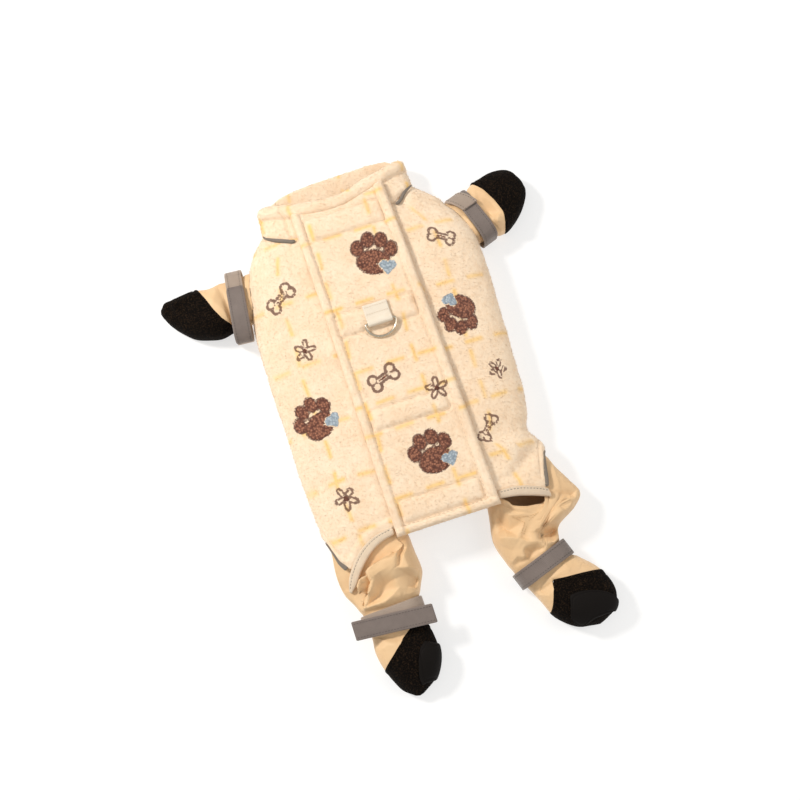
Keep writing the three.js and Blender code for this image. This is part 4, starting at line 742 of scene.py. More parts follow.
# %% Group: ragged edge of a dyed area
ragged, g_in, g_out = new_group(
    "ragged dye", [("Mask", FLOAT, 0.0), ("Place", VECTOR, (0, 0, 0)), ("Grain", FLOAT, 700.0),
                   ("Bite", FLOAT, 0.6)], [("Mask", FLOAT)])
grain = noise(ragged, g_in.outputs["Place"], g_in.outputs["Grain"], 2.0, 0.6)
shift = maths(ragged, "MULTIPLY", maths(ragged, "SUBTRACT", grain, 0.5), g_in.outputs["Bite"])
moved = maths(ragged, "ADD", g_in.outputs["Mask"], shift)
edge = add(ragged, "ShaderNodeMapRange", {"interpolation_type": "SMOOTHSTEP"}, Value=moved,
           From_Min=0.36, From_Max=0.64)
ragged.links.new(edge.outputs[0], g_out.inputs["Mask"])

# %% Group: plain weave
weave, g_in, g_out = new_group("plain weave", [("Cut", VECTOR, (0, 0, 0)), ("Thread", FLOAT, 0.0005)],
                               [("Height", FLOAT), ("Tone", FLOAT)])
cut = add(weave, "ShaderNodeSeparateXYZ", Vector=g_in.outputs["Cut"])
warp = maths(weave, "DIVIDE", cut.outputs[0], g_in.outputs["Thread"])
weft = maths(weave, "DIVIDE", cut.outputs[1], g_in.outputs["Thread"])
cells = maths(weave, "ADD", maths(weave, "FLOOR", warp), maths(weave, "FLOOR", weft))
over = maths(weave, "FLOORED_MODULO", cells, 2.0)
arches = [maths(weave, "SINE", maths(weave, "MULTIPLY", maths(weave, "FRACT", way), math.pi))
          for way in (warp, weft)]
rise = add(weave, "ShaderNodeMix", _0=over, _2=arches[0], _3=arches[1])
weave.links.new(rise.outputs[0], g_out.inputs["Height"])
weave.links.new(over, g_out.inputs["Tone"])

# %% Group: knitted loops
knit, g_in, g_out = new_group("knitted loops", [("Cut", VECTOR, (0, 0, 0)), ("Loop", FLOAT, 0.0016)],
                              [("Height", FLOAT)])
cut = add(knit, "ShaderNodeSeparateXYZ", Vector=g_in.outputs["Cut"])
wale = maths(knit, "FRACT", maths(knit, "DIVIDE", cut.outputs[0], g_in.outputs["Loop"]))
lean = maths(knit, "ABSOLUTE", maths(knit, "SUBTRACT", wale, 0.5))
course = maths(knit, "DIVIDE", cut.outputs[1], maths(knit, "MULTIPLY", g_in.outputs["Loop"], 0.8))
vees = maths(knit, "FRACT", maths(knit, "ADD", course, maths(knit, "MULTIPLY", lean, 1.2)))
loops = maths(knit, "SINE", maths(knit, "MULTIPLY", vees, math.pi))
wales = maths(knit, "SINE", maths(knit, "MULTIPLY", lean, 2 * math.pi))
knit.links.new(maths(knit, "MULTIPLY", loops, wales), g_out.inputs["Height"])
print("shader groups:", [g.name for g in bpy.data.node_groups])


# %% Starting a material
def new_material(name):
    """A material with a shader, object coordinates and the cut's coordinates."""
    made = bpy.data.materials.new(name)
    made.use_nodes = True
    tree = made.node_tree
    tree.nodes.clear()
    shader = tree.nodes.new("ShaderNodeBsdfPrincipled")
    out = tree.nodes.new("ShaderNodeOutputMaterial")
    tree.links.new(shader.outputs[0], out.inputs[0])
    where = tree.nodes.new("ShaderNodeTexCoord").outputs["Object"]
    cut_at = add(tree, "ShaderNodeUVMap", {"uv_map": "cut"}).outputs[0]
    return made, tree, shader, where, cut_at


def finish(tree, shader, colour, **values):
    """Links the colour to the shader and sets the shader's constants."""
    tree.links.new(colour, shader.inputs["Base Color"])
    for key, value in values.items():
        shader.inputs[key.replace("_", " ")].default_value = value


def bump(tree, shader, height, depth, strength=1.0, under=None):
    node = add(tree, "ShaderNodeBump", Height=height, Distance=depth, Strength=strength)
    if under is not None:
        tree.links.new(under, node.inputs["Normal"])
    tree.links.new(node.outputs[0], shader.inputs["Normal"])
    return node.outputs[0]


# %% Fleece, with its dashed check and motifs
CREAM = (0.955, 0.775, 0.575, 1)
# The deep cream is partly a random darker tone and partly painted shade in the pile's hollows.
CREAM_DEEP_AND_SHADE = (0.90, 0.68, 0.465, 1)
GOLD = (0.93, 0.60, 0.20, 1)
BROWN = (0.47, 0.20, 0.115, 1)
# The dark brown draws the print's dark lines and is also the painted shade in the gaps between the nubs;
# the deep blue is only painted shade between the nubs.
BROWN_INK_AND_NUB_SHADE = (0.13, 0.048, 0.032, 1)
BLUE = (0.54, 0.61, 0.65, 1)
BLUE_NUB_SHADE = (0.30, 0.36, 0.41, 1)
NAP_SIZE, NUB_SCALE = 0.0034, 560.0

fleece, tree, shader, where, _ = new_material("fleece")
pile = use(tree, nap, Place=where, Size=NAP_SIZE)
# Low tufts take the deep cream as painted shade in the pile's hollows, and larger random patches take it
# as plain tone; the gold is dimmed in the same hollows.
tone_and_shade = add(tree, "ShaderNodeMapRange", Value=pile.outputs["Mottle and Shade"], From_Min=0.36, From_Max=0.66)
colour = blend_colour(tree, tone_and_shade.outputs[0], CREAM_DEEP_AND_SHADE, CREAM)
dyes = add(tree, "ShaderNodeAttribute", {"attribute_name": "dye"})
split = add(tree, "ShaderNodeSeparateColor", Color=dyes.outputs["Color"])
gold_mask = maths(tree, "MULTIPLY", split.outputs[0], maths(tree, "ADD", pile.outputs["Mottle and Shade"], 0.35))
colour = blend_colour(tree, gold_mask, colour, GOLD)
brown_mask = use(tree, ragged, Mask=split.outputs[1], Place=where, Bite=1.1).outputs[0]
# Nub tops keep the plain brown or blue, and the gaps between the nubs are painted darker: painted shade
# between the nubs, added to their bump.
nubs = add(tree, "ShaderNodeTexVoronoi", Vector=where, Scale=NUB_SCALE)
nub_shade = add(tree, "ShaderNodeMapRange", Value=nubs.outputs["Distance"], From_Min=0.1, From_Max=0.7)
brown = blend_colour(tree, nub_shade.outputs[0], BROWN, BROWN_INK_AND_NUB_SHADE)
colour = blend_colour(tree, brown_mask, colour, brown)
blue_mask = use(tree, ragged, Mask=split.outputs[2], Place=where, Bite=1.0).outputs[0]
blue = blend_colour(tree, nub_shade.outputs[0], BLUE, BLUE_NUB_SHADE)
colour = blend_colour(tree, blue_mask, colour, blue)
line_mask = use(tree, ragged, Mask=dyes.outputs["Alpha"], Place=where, Bite=0.9).outputs[0]
colour = blend_colour(tree, maths(tree, "MULTIPLY", line_mask, 0.85), colour, BROWN_INK_AND_NUB_SHADE)
finish(tree, shader, colour, Roughness=0.95, Sheen_Weight=0.2, Sheen_Roughness=0.6,
       Specular_IOR_Level=0.12)
first = bump(tree, shader, pile.outputs["Height"], 0.0011, 0.6)
dyed = maths(tree, "MAXIMUM", brown_mask, blue_mask)
bump(tree, shader, maths(tree, "MULTIPLY", nubs.outputs["Distance"], dyed), 0.0009, 0.8, first)

# %% Woven cloth of sleeves and legs
WOVEN_DEEP, WOVEN_PALE = (0.75, 0.475, 0.245, 1), (0.90, 0.635, 0.36, 1)
WOVEN_THREAD, THREAD_SIZE = (0.62, 0.42, 0.22, 1), 0.00045

woven, tree, shader, where, cut_at = new_material("woven cloth")
threads = use(tree, weave, Cut=cut_at, Thread=THREAD_SIZE)
clouds = noise(tree, where, 55.0, 3.0, 0.55)
colour = blend_colour(tree, clouds, WOVEN_DEEP, WOVEN_PALE)
colour = blend_colour(tree, maths(tree, "MULTIPLY", threads.outputs["Tone"], 0.10), colour, WOVEN_THREAD)
finish(tree, shader, colour, Roughness=0.52, Sheen_Weight=0.12, Sheen_Roughness=0.4,
       Specular_IOR_Level=0.42)
first = bump(tree, shader, threads.outputs["Height"], 0.00012, 0.35)
creasing = add(tree, "ShaderNodeTexNoise", {"noise_type": "RIDGED_MULTIFRACTAL"}, Vector=where,
               Scale=95.0, Detail=2.0, Roughness=0.5)
bump(tree, shader, creasing.outputs[0], 0.0005, 0.22, first)

# %% Knitted boots and their smooth soles
KNIT_BLACK, KNIT_FLECK, LOOP_SIZE = (0.0035, 0.0026, 0.0021, 1), (0.042, 0.024, 0.012, 1), 0.0017
SOLE_BLACK, SOLE_PALE = (0.0035, 0.0026, 0.0022, 1), (0.009, 0.0065, 0.005, 1)

boot_knit, tree, shader, where, cut_at = new_material("boot knit")
knitted = use(tree, knit, Cut=cut_at, Loop=LOOP_SIZE)
speck = noise(tree, where, 900.0, 2.0, 0.7)
fleck = add(tree, "ShaderNodeMapRange", Value=speck, From_Min=0.5, From_Max=0.78)
colour = blend_colour(tree, fleck.outputs[0], KNIT_BLACK, KNIT_FLECK)
finish(tree, shader, colour, Roughness=0.95, Sheen_Weight=0.01, Sheen_Roughness=0.5,
       Specular_IOR_Level=0.06)
first = bump(tree, shader, knitted.outputs[0], 0.0004, 0.6)
bump(tree, shader, speck, 0.0004, 0.5, first)

boot_sole, tree, shader, where, cut_at = new_material("boot sole")
grain = noise(tree, where, 1500.0, 2.0, 0.6)
colour = blend_colour(tree, grain, SOLE_BLACK, SOLE_PALE)
finish(tree, shader, colour, Roughness=0.7, Specular_IOR_Level=0.12)
bump(tree, shader, grain, 0.00012, 0.5)


# %% Tapes, piping and binding
def tape(name, dark, light, thread, rough, sheen):
    """A woven tape: ribs across its length, worn a little paler in patches."""
    made, tree, shader, where, cut_at = new_material(name)
    ribs = use(tree, weave, Cut=cut_at, Thread=thread)
    patches = noise(tree, where, 130.0, 3.0, 0.6)
    share = weighed(tree, patches, 0.7, ribs.outputs["Tone"], 0.22)
    finish(tree, shader, blend_colour(tree, share, dark, light), Roughness=rough,
           Sheen_Weight=sheen, Sheen_Roughness=0.35, Specular_IOR_Level=0.35)
    bump(tree, shader, ribs.outputs["Height"], 0.0002, 0.7)
    return made


strap = tape("strap tape", (0.165, 0.130, 0.112, 1), (0.275, 0.225, 0.198, 1), 0.0006, 0.6, 0.25)
strap_pale = tape("pale strap tape", (0.33, 0.25, 0.195, 1), (0.50, 0.40, 0.32, 1), 0.0006, 0.6, 0.25)
piping = tape("piping", (0.14, 0.117, 0.094, 1), (0.31, 0.26, 0.21, 1), 0.0008, 0.75, 0.1)
binding = tape("binding", (0.78, 0.60, 0.42, 1), (0.93, 0.78, 0.60, 1), 0.0005, 0.7, 0.15)
webbing = tape("webbing", (0.80, 0.68, 0.52, 1), (0.95, 0.86, 0.72, 1), 0.0009, 0.5, 0.2)
thread = tape("sewing thread", (0.62, 0.48, 0.34, 1), (0.80, 0.65, 0.50, 1), 0.0004, 0.6, 0.1)
thread_tan = tape("tan thread", (0.62, 0.41, 0.20, 1), (0.70, 0.48, 0.25, 1), 0.0004, 0.6, 0.1)
thread_dark = tape("dark thread", (0.05, 0.038, 0.032, 1), (0.10, 0.08, 0.07, 1), 0.0004, 0.6, 0.1)

# %% Metal of the D-ring
ring_metal, tree, shader, where, _ = new_material("ring metal")
brushed = noise(tree, where, 700.0, 3.0, 0.6)
colour = blend_colour(tree, brushed, (0.62, 0.53, 0.40, 1), (0.80, 0.71, 0.57, 1))
finish(tree, shader, colour, Metallic=1.0)
gloss = add(tree, "ShaderNodeMapRange", Value=brushed, To_Min=0.16, To_Max=0.34)
tree.links.new(gloss.outputs[0], shader.inputs["Roughness"])
bump(tree, shader, brushed, 0.00003, 0.3)
print("materials:", len(bpy.data.materials))

# %% [markdown]
# ## The print
#
# A pale golden check drawn in broken lines, and small motifs between them: a nubby brown paw with a
# light blue heart, and sketched outlines of a bone and a flower. Each skin point gets how much gold,
# brown, blue and dark line it holds.

# %% Drawing the check and the motifs
PAWS = [(9, 76, 1.0, -18), (-70, -34, 0.95, 22), (61, 12, 0.9, 150), (3, -86, 0.95, 8)]
BONES = [(-69, 66, 0.9, 35), (66, 76, 0.8, -30), (-14, -20, 0.9, 20), (60, -80, 0.75, 60)]
FLOWERS = [(-61, 20, 0.8, 0), (-66, -98, 0.85, 40), (22, -40, 0.8, 15), (78, -38, 0.7, 60)]


def oval(p, q, x, y, rx, ry):
    """How far a place is outside an oval, in mm."""
    return (np.hypot((p - x) / rx, (q - y) / ry) - 1) * min(rx, ry)


def local(u, v, x, y, size, turn):
    """Places in a motif's own frame."""
    c, s = math.cos(math.radians(turn)), math.sin(math.radians(turn))
    return ((u - x) * c + (v - y) * s) / size, ((v - y) * c - (u - x) * s) / size


def dashes(u, v, upright, level):
    """Broken lines of the check: upright lines at the given u, level lines at the given v."""
    gold = np.zeros_like(u)
    for k, (lines, at, along) in enumerate([(upright, u, v), (level, v, u)]):
        for n, line_at in enumerate(lines):
            drift = 1.6 * ripple(along, np.full_like(along, 7 * n), 30, 5 + k)
            near = bell(at - line_at + drift, 0, 1.7)
            phase = (along + 17 * n + 9 * k) / 25 % 1
            near = near * ease(0.0, 0.1, phase) * ease(0.72, 0.58, phase)
            gold = np.maximum(gold, near * (0.95 + 0.3 * ripple(u, v, 9, 3)))
    return np.clip(gold, 0, 1)


def printed(u, v, upright, level, motifs=True):
    """The four dyes at each place: gold, brown, blue and dark line."""
    gold, brown, blue, line = dashes(u, v, upright, level), u * 0, u * 0, u * 0
    if motifs:
        for paw in PAWS:
            p, q = local(u, v, *paw)
            pad = oval(p, q, 0, -6, 13, 10)
            for x, y in ((-13, 5), (-5, 12), (5, 12), (13, 5)):
                pad = np.minimum(pad, oval(p, q, x, y, 5, 6.2))
            brown = np.maximum(brown, ease(1.2, -1.2, pad))
            line = np.maximum(line, 0.8 * bell(pad, 0, 1.1))
            h, k = np.abs(p - 11), q + 10
            heart = np.maximum(0.76 * h - 0.65 * (k + 6.2), k - 1.9)
            heart = np.minimum(heart, oval(h, k, 2.9, 1.9, 3.3, 3.3))
            blue = np.maximum(blue, ease(1.4, -0.8, heart))
            brown = brown * (1 - blue)
            line = line * (1 - blue)
        for bone in BONES:
            p, q = local(u, v, *bone)
            shaft = np.maximum(np.abs(p) - 8, np.abs(q) - 2.6)
            for x, y in ((-9, 3.4), (-9, -3.4), (9, 3.4), (9, -3.4)):
                shaft = np.minimum(shaft, oval(p, q, x, y, 4, 4))
            line = np.maximum(line, 0.95 * bell(shaft, 0, 1.5))
            brown = np.maximum(brown, 0.8 * bell(q, 0, 1.2) * ease(7, 4, np.abs(p)))
        for flower in FLOWERS:
            p, q = local(u, v, *flower)
            away, turn = np.hypot(p, q) + 1e-6, 5 * np.arctan2(q, p)
            petals = (away - 7.5 - 3.2 * np.cos(turn)) / np.hypot(1, 16 * np.sin(turn) / away)
            line = np.maximum(line, 0.95 * bell(petals, 0, 1.5))
            brown = np.maximum(brown, ease(3.4, 1.6, np.hypot(p, q)))
    return np.stack([gold, brown, blue, line], -1)


# %% [markdown]
# ## The fleece body
#
# A tube from the hem to the collar seam. Its skin has soft hills, and sinks at the collar seam and
# the hem. The armholes are cut with the sleeves' own outline.

# %% Body tube
BODY_COLUMNS, BODY_ROWS = 296, 150
turns, girth = even_turns(BODY_COLUMNS)
t = np.linspace(0, 1, BODY_ROWS)[:, None]
a = turns[None, :]
y = mix(hem_at(a), seam_at(a) - GAP / 2, t)
walk = np.linspace(0, girth, len(turns) + 1)
top_middle = np.interp(math.pi / 2, turns, walk[:-1])
u = np.broadcast_to(top_middle - walk, (BODY_ROWS, len(walk)))
u_skin, v_skin = u[:, :-1], y
soft = 0.55 * ripple(u_skin, v_skin, 34, 11) + 0.28 * ripple(u_skin, v_skin, 13, 12)
soft = soft + 0.24 * ripple(u_skin, v_skin, 4.5, 13)
to_seam = seam_at(a) - y
soft = soft - 1.4 * bell(to_seam, 0, 3.0) * ease(0, 0.4, np.sin(a))
to_hem = y - hem_at(a)
soft = soft + 0.5 * bell(to_hem, 3.5, 2.5) - 0.6 * bell(to_hem, 8, 1.6)
soft = np.where(np.sin(a) < 0, np.minimum(soft, 0.0) * 0.3, soft)
outer = body_point(a, y, soft)
inner = body_point(a, y, np.full_like(soft, -FLEECE))
dye_left = printed(u_skin, v_skin, (-117, -68, 62, 112), (110, 60, 8, -41, -85, -125))
dye_right = printed(u_skin, v_skin, (-117, -68, 62, 112), (88, 38, -12, -58, -100))
torso_dye = np.where((u_skin < 0)[..., None], dye_left, dye_right)
v_full = np.concatenate([y, y[:, :1]], 1)
torso = wall("fleece_body", outer, inner, u, v_full, True, fleece, torso_dye)
print("body:", len(torso.data.polygons), "faces")


# %% Armholes
def plug_object(limb):
    """A closed plug of a limb's outline, to cut the armhole."""
    rings, sides = 12, 64
    b = np.linspace(0, 2 * math.pi, sides, endpoint=False)
    ahead = np.linspace(-0.02, 0.45, rings)[:, None]
    p = limb_point(limb, ahead, b, GAP)
    faces = tube_faces(rings, sides)
    faces += [list(range(sides)), list(range((rings - 1) * sides, rings * sides))]
    return object_of("armhole_plug", p.reshape(-1, 3), faces, fleece)


def applied(piece):
    """The piece's mesh with its modifiers applied, and none left on it."""
    shape = piece.evaluated_get(bpy.context.evaluated_depsgraph_get())
    made = bpy.data.meshes.new_from_object(shape)
    piece.modifiers.clear()
    piece.data = made
    return piece


for limb in (SLEEVE_LEFT, SLEEVE_RIGHT):
    plug = plug_object(limb)
    cutter = torso.modifiers.new("armhole", "BOOLEAN")
    cutter.object = plug
    cutter.operation = "DIFFERENCE"
    cutter.solver = "MANIFOLD"
    applied(torso)
    bpy.data.objects.remove(plug)
torso.data.shade_smooth()
place(torso, "fleece", "torso_shell")
print("body after the armholes:", len(torso.data.polygons), "faces")

# %% [markdown]
# ## The collar
#
# A padded double band. Its upper layer rolls over at the rim; the lower layer reaches further, so
# its inner face shows as a band behind the rim.

# %% Collar
rows = 34
up = np.linspace(0, 1, rows)[:, None]
y = mix(seam_at(a) + GAP / 2, rim_at(a), up)
above = ease(-0.1, 0.6, np.sin(a))
roll_line = np.array([(0, -0.35), (0.1, 0.1), (0.42, 0.0), (0.55, -0.3), (0.68, 0.8), (0.84, 1.15),
                      (0.96, 0.5), (1, -0.1)])
swell = smooth_read(roll_line, up)[..., 0] * RIM_SWELL
swell = np.where(swell > 0, swell * above, swell)
u_skin, v_skin = np.broadcast_to(u[0, :-1], y.shape), y
soft = 0.4 * ripple(u_skin, v_skin, 24, 21) + 0.16 * ripple(u_skin, v_skin, 4, 22)
across = across_of(a)
x_skin = body_point(a, y)[..., 0]
upright_seam = bell(x_skin, -48.5, 1.2) * ease(0.95, 0.8, up)
soft = np.where(np.sin(a) < 0, 0.0, soft - 1.5 * upright_seam)
outer = body_point(a, y, swell + soft)
inner = body_point(a, y, -COLLAR_WALL * (1 - 0.12 * up))
inner[..., 2] += np.where(np.sin(a) < 0, 0.2 * ripple(u_skin, v_skin, 9, 23), 0)
u_full = np.broadcast_to(u[0], (rows, len(walk)))
v_full = np.concatenate([y, y[:, :1]], 1)
collar_dye = printed(x_skin, v_skin, (-43, 5, 53, -67), (), False)
collar = wall("collar_band", outer, inner, u_full, v_full, True, fleece, collar_dye, roll=5)
place(collar, "fleece", "collar")
print("collar:", len(collar.data.polygons), "faces")


# %% [markdown]
# ## The placket panel
#
# A long strip down the back. Both long edges are raised hems, the lower end is turned up, and four
# boxes are quilted where fastener tape is sewn underneath.

# %% Panel
def panel_x(c, y):
    """The x at a share c of the panel's width."""
    left, right = (np.interp(y / LENGTH, PANEL_EDGES[:, 0], PANEL_EDGES[:, k]) * HALF for k in (1, 2))
    return mix(left, right, c)


def panel_head_y(x):
    """Where the panel ends under the rim roll."""
    c = (x + 0.445 * HALF) / (0.797 * HALF)
    return NECK_LINE * LENGTH + read(PANEL_HEAD, c) * COLLAR_DEEP - GAP


def panel_lift(x, y, from_left, from_right):
    """The panel's thickness at a place, with its hems, boxes and stitched grooves."""
    from_end = y - PANEL_END * LENGTH
    lift = PANEL_BASE + 0.35 * ripple(x, y, 17, 31) + 0.2 * ripple(x, y, 4.5, 32)
    for gap_to, wide, high in ((from_left, 7.0, 1.3), (from_right, 8.0, 2.2), (from_end, 6.0, 1.2)):
        lift = lift + high * ease(wide + 0.8, wide - 1.0, gap_to)
        lift = lift - 1.15 * bell(gap_to, wide, 0.9)
    for x0, x1, y0, y1 in PANEL_BOXES:
        corner = 3.0
        dx = np.maximum(x0 + corner - x, x - x1 + corner)
        dy = np.maximum(y0 + corner - y, y - y1 + corner)
        out = np.hypot(np.maximum(dx, 0), np.maximum(dy, 0)) + np.minimum(np.maximum(dx, dy), 0) - corner
        lift = lift - 1.25 * bell(out, 0, 1.0) + 1.3 * ease(0.5, -5.0, out)
    from_head = panel_head_y(x) - y
    lift = lift - 0.9 * ease(4.5, 1.0, from_head) * ease(8, 11, from_left) * ease(9, 12, from_right)
    edge = np.minimum(np.minimum(from_left, from_right), from_end)
    return lift * rounded(edge / 2.4, 0.04)


rows, columns = 214, 74
c = np.linspace(0, 1, columns)[None, :]
head = NECK_LINE * LENGTH + read(PANEL_HEAD, c) * COLLAR_DEEP - GAP
t = np.linspace(0, 1, rows)[:, None]
y = mix(PANEL_END * LENGTH, head, t)
x = panel_x(c, y)
wide = panel_x(1.0, y) - panel_x(0.0, y)
lift = panel_lift(x, y, c * wide, (1 - c) * wide)
stand = 0.9 * ease(12, 2, (1 - c) * wide)
outer = np.stack([x, y, body_top(x, y, GAP + stand) + lift], -1)
inner = np.stack([x, y, body_top(x, y, GAP) + stand], -1)
panel_dye = printed(x, y, (-33, 15), (128, 100, 42, -10, -37, -60, -110))
panel = wall("placket", outer, inner, x, y, False, fleece, panel_dye, roll=2)
place(panel, "fleece", "placket_panel")
print("panel:", len(panel.data.polygons), "faces")

# %% [markdown]
# ## Piping and binding

# %% Piping in the collar seam and at the hips
def collar_piping(name, start, end, broad, drop, node):
    """Piping along the collar seam between two places across, drooping towards the panel."""
    c = np.linspace(start, end, 40)
    y = read(SEAM_TOP, c) * LENGTH - drop * np.linspace(0, 1, 40) ** 0.8
    middle, half, _, _ = body_section(y)
    x = middle + c * half
    grow = ease(0, 0.6, np.linspace(0, 1, 40))
    line = np.stack([x, y, body_top(x, y, 0.9)], -1)
    piece = cord(name, line, mix(1.3, broad, grow), mix(1.2, 2.0, grow), piping)
    return place(piece, "piping", node)


def hip_piping(name, start, end, outward, node):
    """Piping below the fleece's slanting hip edge, widening downwards."""
    c = np.linspace(start, end, 40)
    y = read(HEM_TOP, c) * LENGTH
    wide = 4.2 * mix(0.4, 1, ease(0, 0.9, np.linspace(0, 1, 40)))
    middle, half, _, _ = body_section(y)
    beside = GAP + wide / 2
    x, y = middle + c * half + outward * beside * 0.15, y - beside * 0.85
    line = np.stack([x, y, body_top(x, y, 0.0)], -1)
    for _ in range(3):
        soften(line)
    return place(cord(name, line, wide, np.full(len(wide), 2.4), piping), "piping", node)


pipes = [
    collar_piping("collar_piping_l", -0.975, -0.538, 3.2, 2.4, "collar_piping_left"),
    collar_piping("collar_piping_r", 0.965, 0.54, 2.8, 2.4, "collar_piping_right"),
    hip_piping("hip_piping_l", -0.99, -0.90, -1, "hip_piping_left"),
    hip_piping("hip_piping_r", 0.975, 0.847, 1, "hip_piping_right"),
]
print("piping:", len(pipes))


# %% Binding of the rear opening
def hem_line(x):
    """The y of the fleece's hem at x."""
    b = np.linspace(0, math.pi, 200)
    p = body_point(b, hem_at(b))
    return np.interp(x, p[::-1, 0], p[::-1, 1])


def bound_edge(name, table, node):
    """A folded tape along the edge. Returns the line of the stitches that hold it."""
    rows, lanes = 70, 15
    keyed = np.column_stack([np.linspace(0, 1, len(table)), table])
    in_x, in_y, out_x, out_y = np.moveaxis(smooth_read(keyed, np.linspace(0, 1, rows)), -1, 0)
    lane = np.linspace(0, 1, lanes)[None, :]
    x = mix(in_x[:, None], out_x[:, None], lane) * HALF
    start = np.minimum(in_y[:, None] * LENGTH, hem_line(x) - GAP + 0.9)
    y = mix(start, out_y[:, None] * LENGTH, lane)
    crown = 1.5 * (1 - np.abs(2 * lane - 1) ** 2.6) ** 0.5
    sewn = bell(lane, 0.24, 0.07)
    rise = crown - 0.55 * sewn + 0.14 * ripple(x, y, 3.2, 41)
    outer = np.stack([x, y, body_top(x, y, 0.25) + rise], -1)
    inner = np.stack([x, y, body_top(x, y, -FLEECE)], -1)
    u, v = np.broadcast_arrays(7 * lane, np.linspace(0, 60, rows)[:, None])
    piece = wall(name, outer, inner, u, v, False, binding)
    place(piece, "binding", node)
    return outer[2:-2, 4] + (0, 0, 0.15)


sewn_l = bound_edge("binding_l", BINDING_LEFT, "hem_binding_left")
sewn_r = bound_edge("binding_r", BINDING_RIGHT, "hem_binding_right")
print("bindings: 2")


# %% [markdown]
# ## Sleeves, legs and boots
#
# The cloth tubes get their larger folds from the tables. Cloth that is a little too big for its
# place then settles into its own small crumples: a short simulation grows it while its ends and the
# parts under straps and fleece are held.

# %% Crumpling by simulation
CRUMPLE = {
    "quality": 6, "mass": 0.2, "tension_stiffness": 25, "compression_stiffness": 25,
    "shear_stiffness": 12, "bending_stiffness": 0.6, "tension_damping": 15,
    "compression_damping": 15, "vertex_group_mass": "hold", "pin_stiffness": 1.0,
}
SIM_SCALE = 0.01  # mm to units: ten times the real size, where the solver is steadier


def crumple(points, hold, growth, frames=20, most=1.5):
    """Lets a tube of cloth buckle. hold is 1 where it may not move."""
    mesh = bpy.data.meshes.new("crumple")
    mesh.from_pydata((points.reshape(-1, 3) * SIM_SCALE).tolist(), [], tube_faces(*points.shape[:2]))
    cloth = linked("crumple", mesh)
    group = cloth.vertex_groups.new(name="hold")
    for n, weight in enumerate(hold.ravel()):
        group.add([n], float(weight), "REPLACE")
    sim = cloth.modifiers.new("cloth", "CLOTH")
    for key, value in CRUMPLE.items():
        setattr(sim.settings, key, value)
    sim.settings.shrink_min = -growth
    sim.settings.effector_weights.gravity = 0
    sim.collision_settings.use_collision = False
    sim.collision_settings.use_self_collision = False
    sim.point_cache.frame_start = 1
    sim.point_cache.frame_end = frames
    for number in range(1, frames + 1):
        bpy.context.scene.frame_set(number)
    shape = cloth.evaluated_get(bpy.context.evaluated_depsgraph_get()).data
    co = np.empty(len(shape.vertices) * 3, np.float32)
    shape.vertices.foreach_get("co", co)
    move = co.reshape(points.shape) * (1 / SIM_SCALE) - points
    bpy.data.objects.remove(cloth)
    bpy.context.scene.frame_set(1)
    size = np.linalg.norm(move, axis=-1, keepdims=True)
    move *= np.minimum(1, most / np.maximum(size, 1e-6))
    moved = points + move * (1 - np.clip(hold, 0, 1))[..., None]
    moved[..., 2] = np.maximum(moved[..., 2], 0.0)
    print("crumple: moved", round(float(size.mean()), 2), "mm on average,", round(float(size.max()), 2))
    return moved


# %% Cloth tubes
def band_room(limb, ahead):
    """The room a band round a limb needs: its middle, its directions, its top and its sides."""
    centre, forward, side, _, _, _, _ = limb_station(limb, np.array(ahead))
    b = np.linspace(0, 2 * math.pi, 20, endpoint=False)[None, :]
    off = (np.linspace(0, 1, 5) - 0.5)[:, None] * STRAP_WIDE / limb["length"]
    p = limb_point(limb, ahead + off, b)
    across = ((p[..., :2] - centre) * side).sum(-1)
    return centre, forward, side, p[..., 2].max(), min(across.min(), 0), max(across.max(), 0)


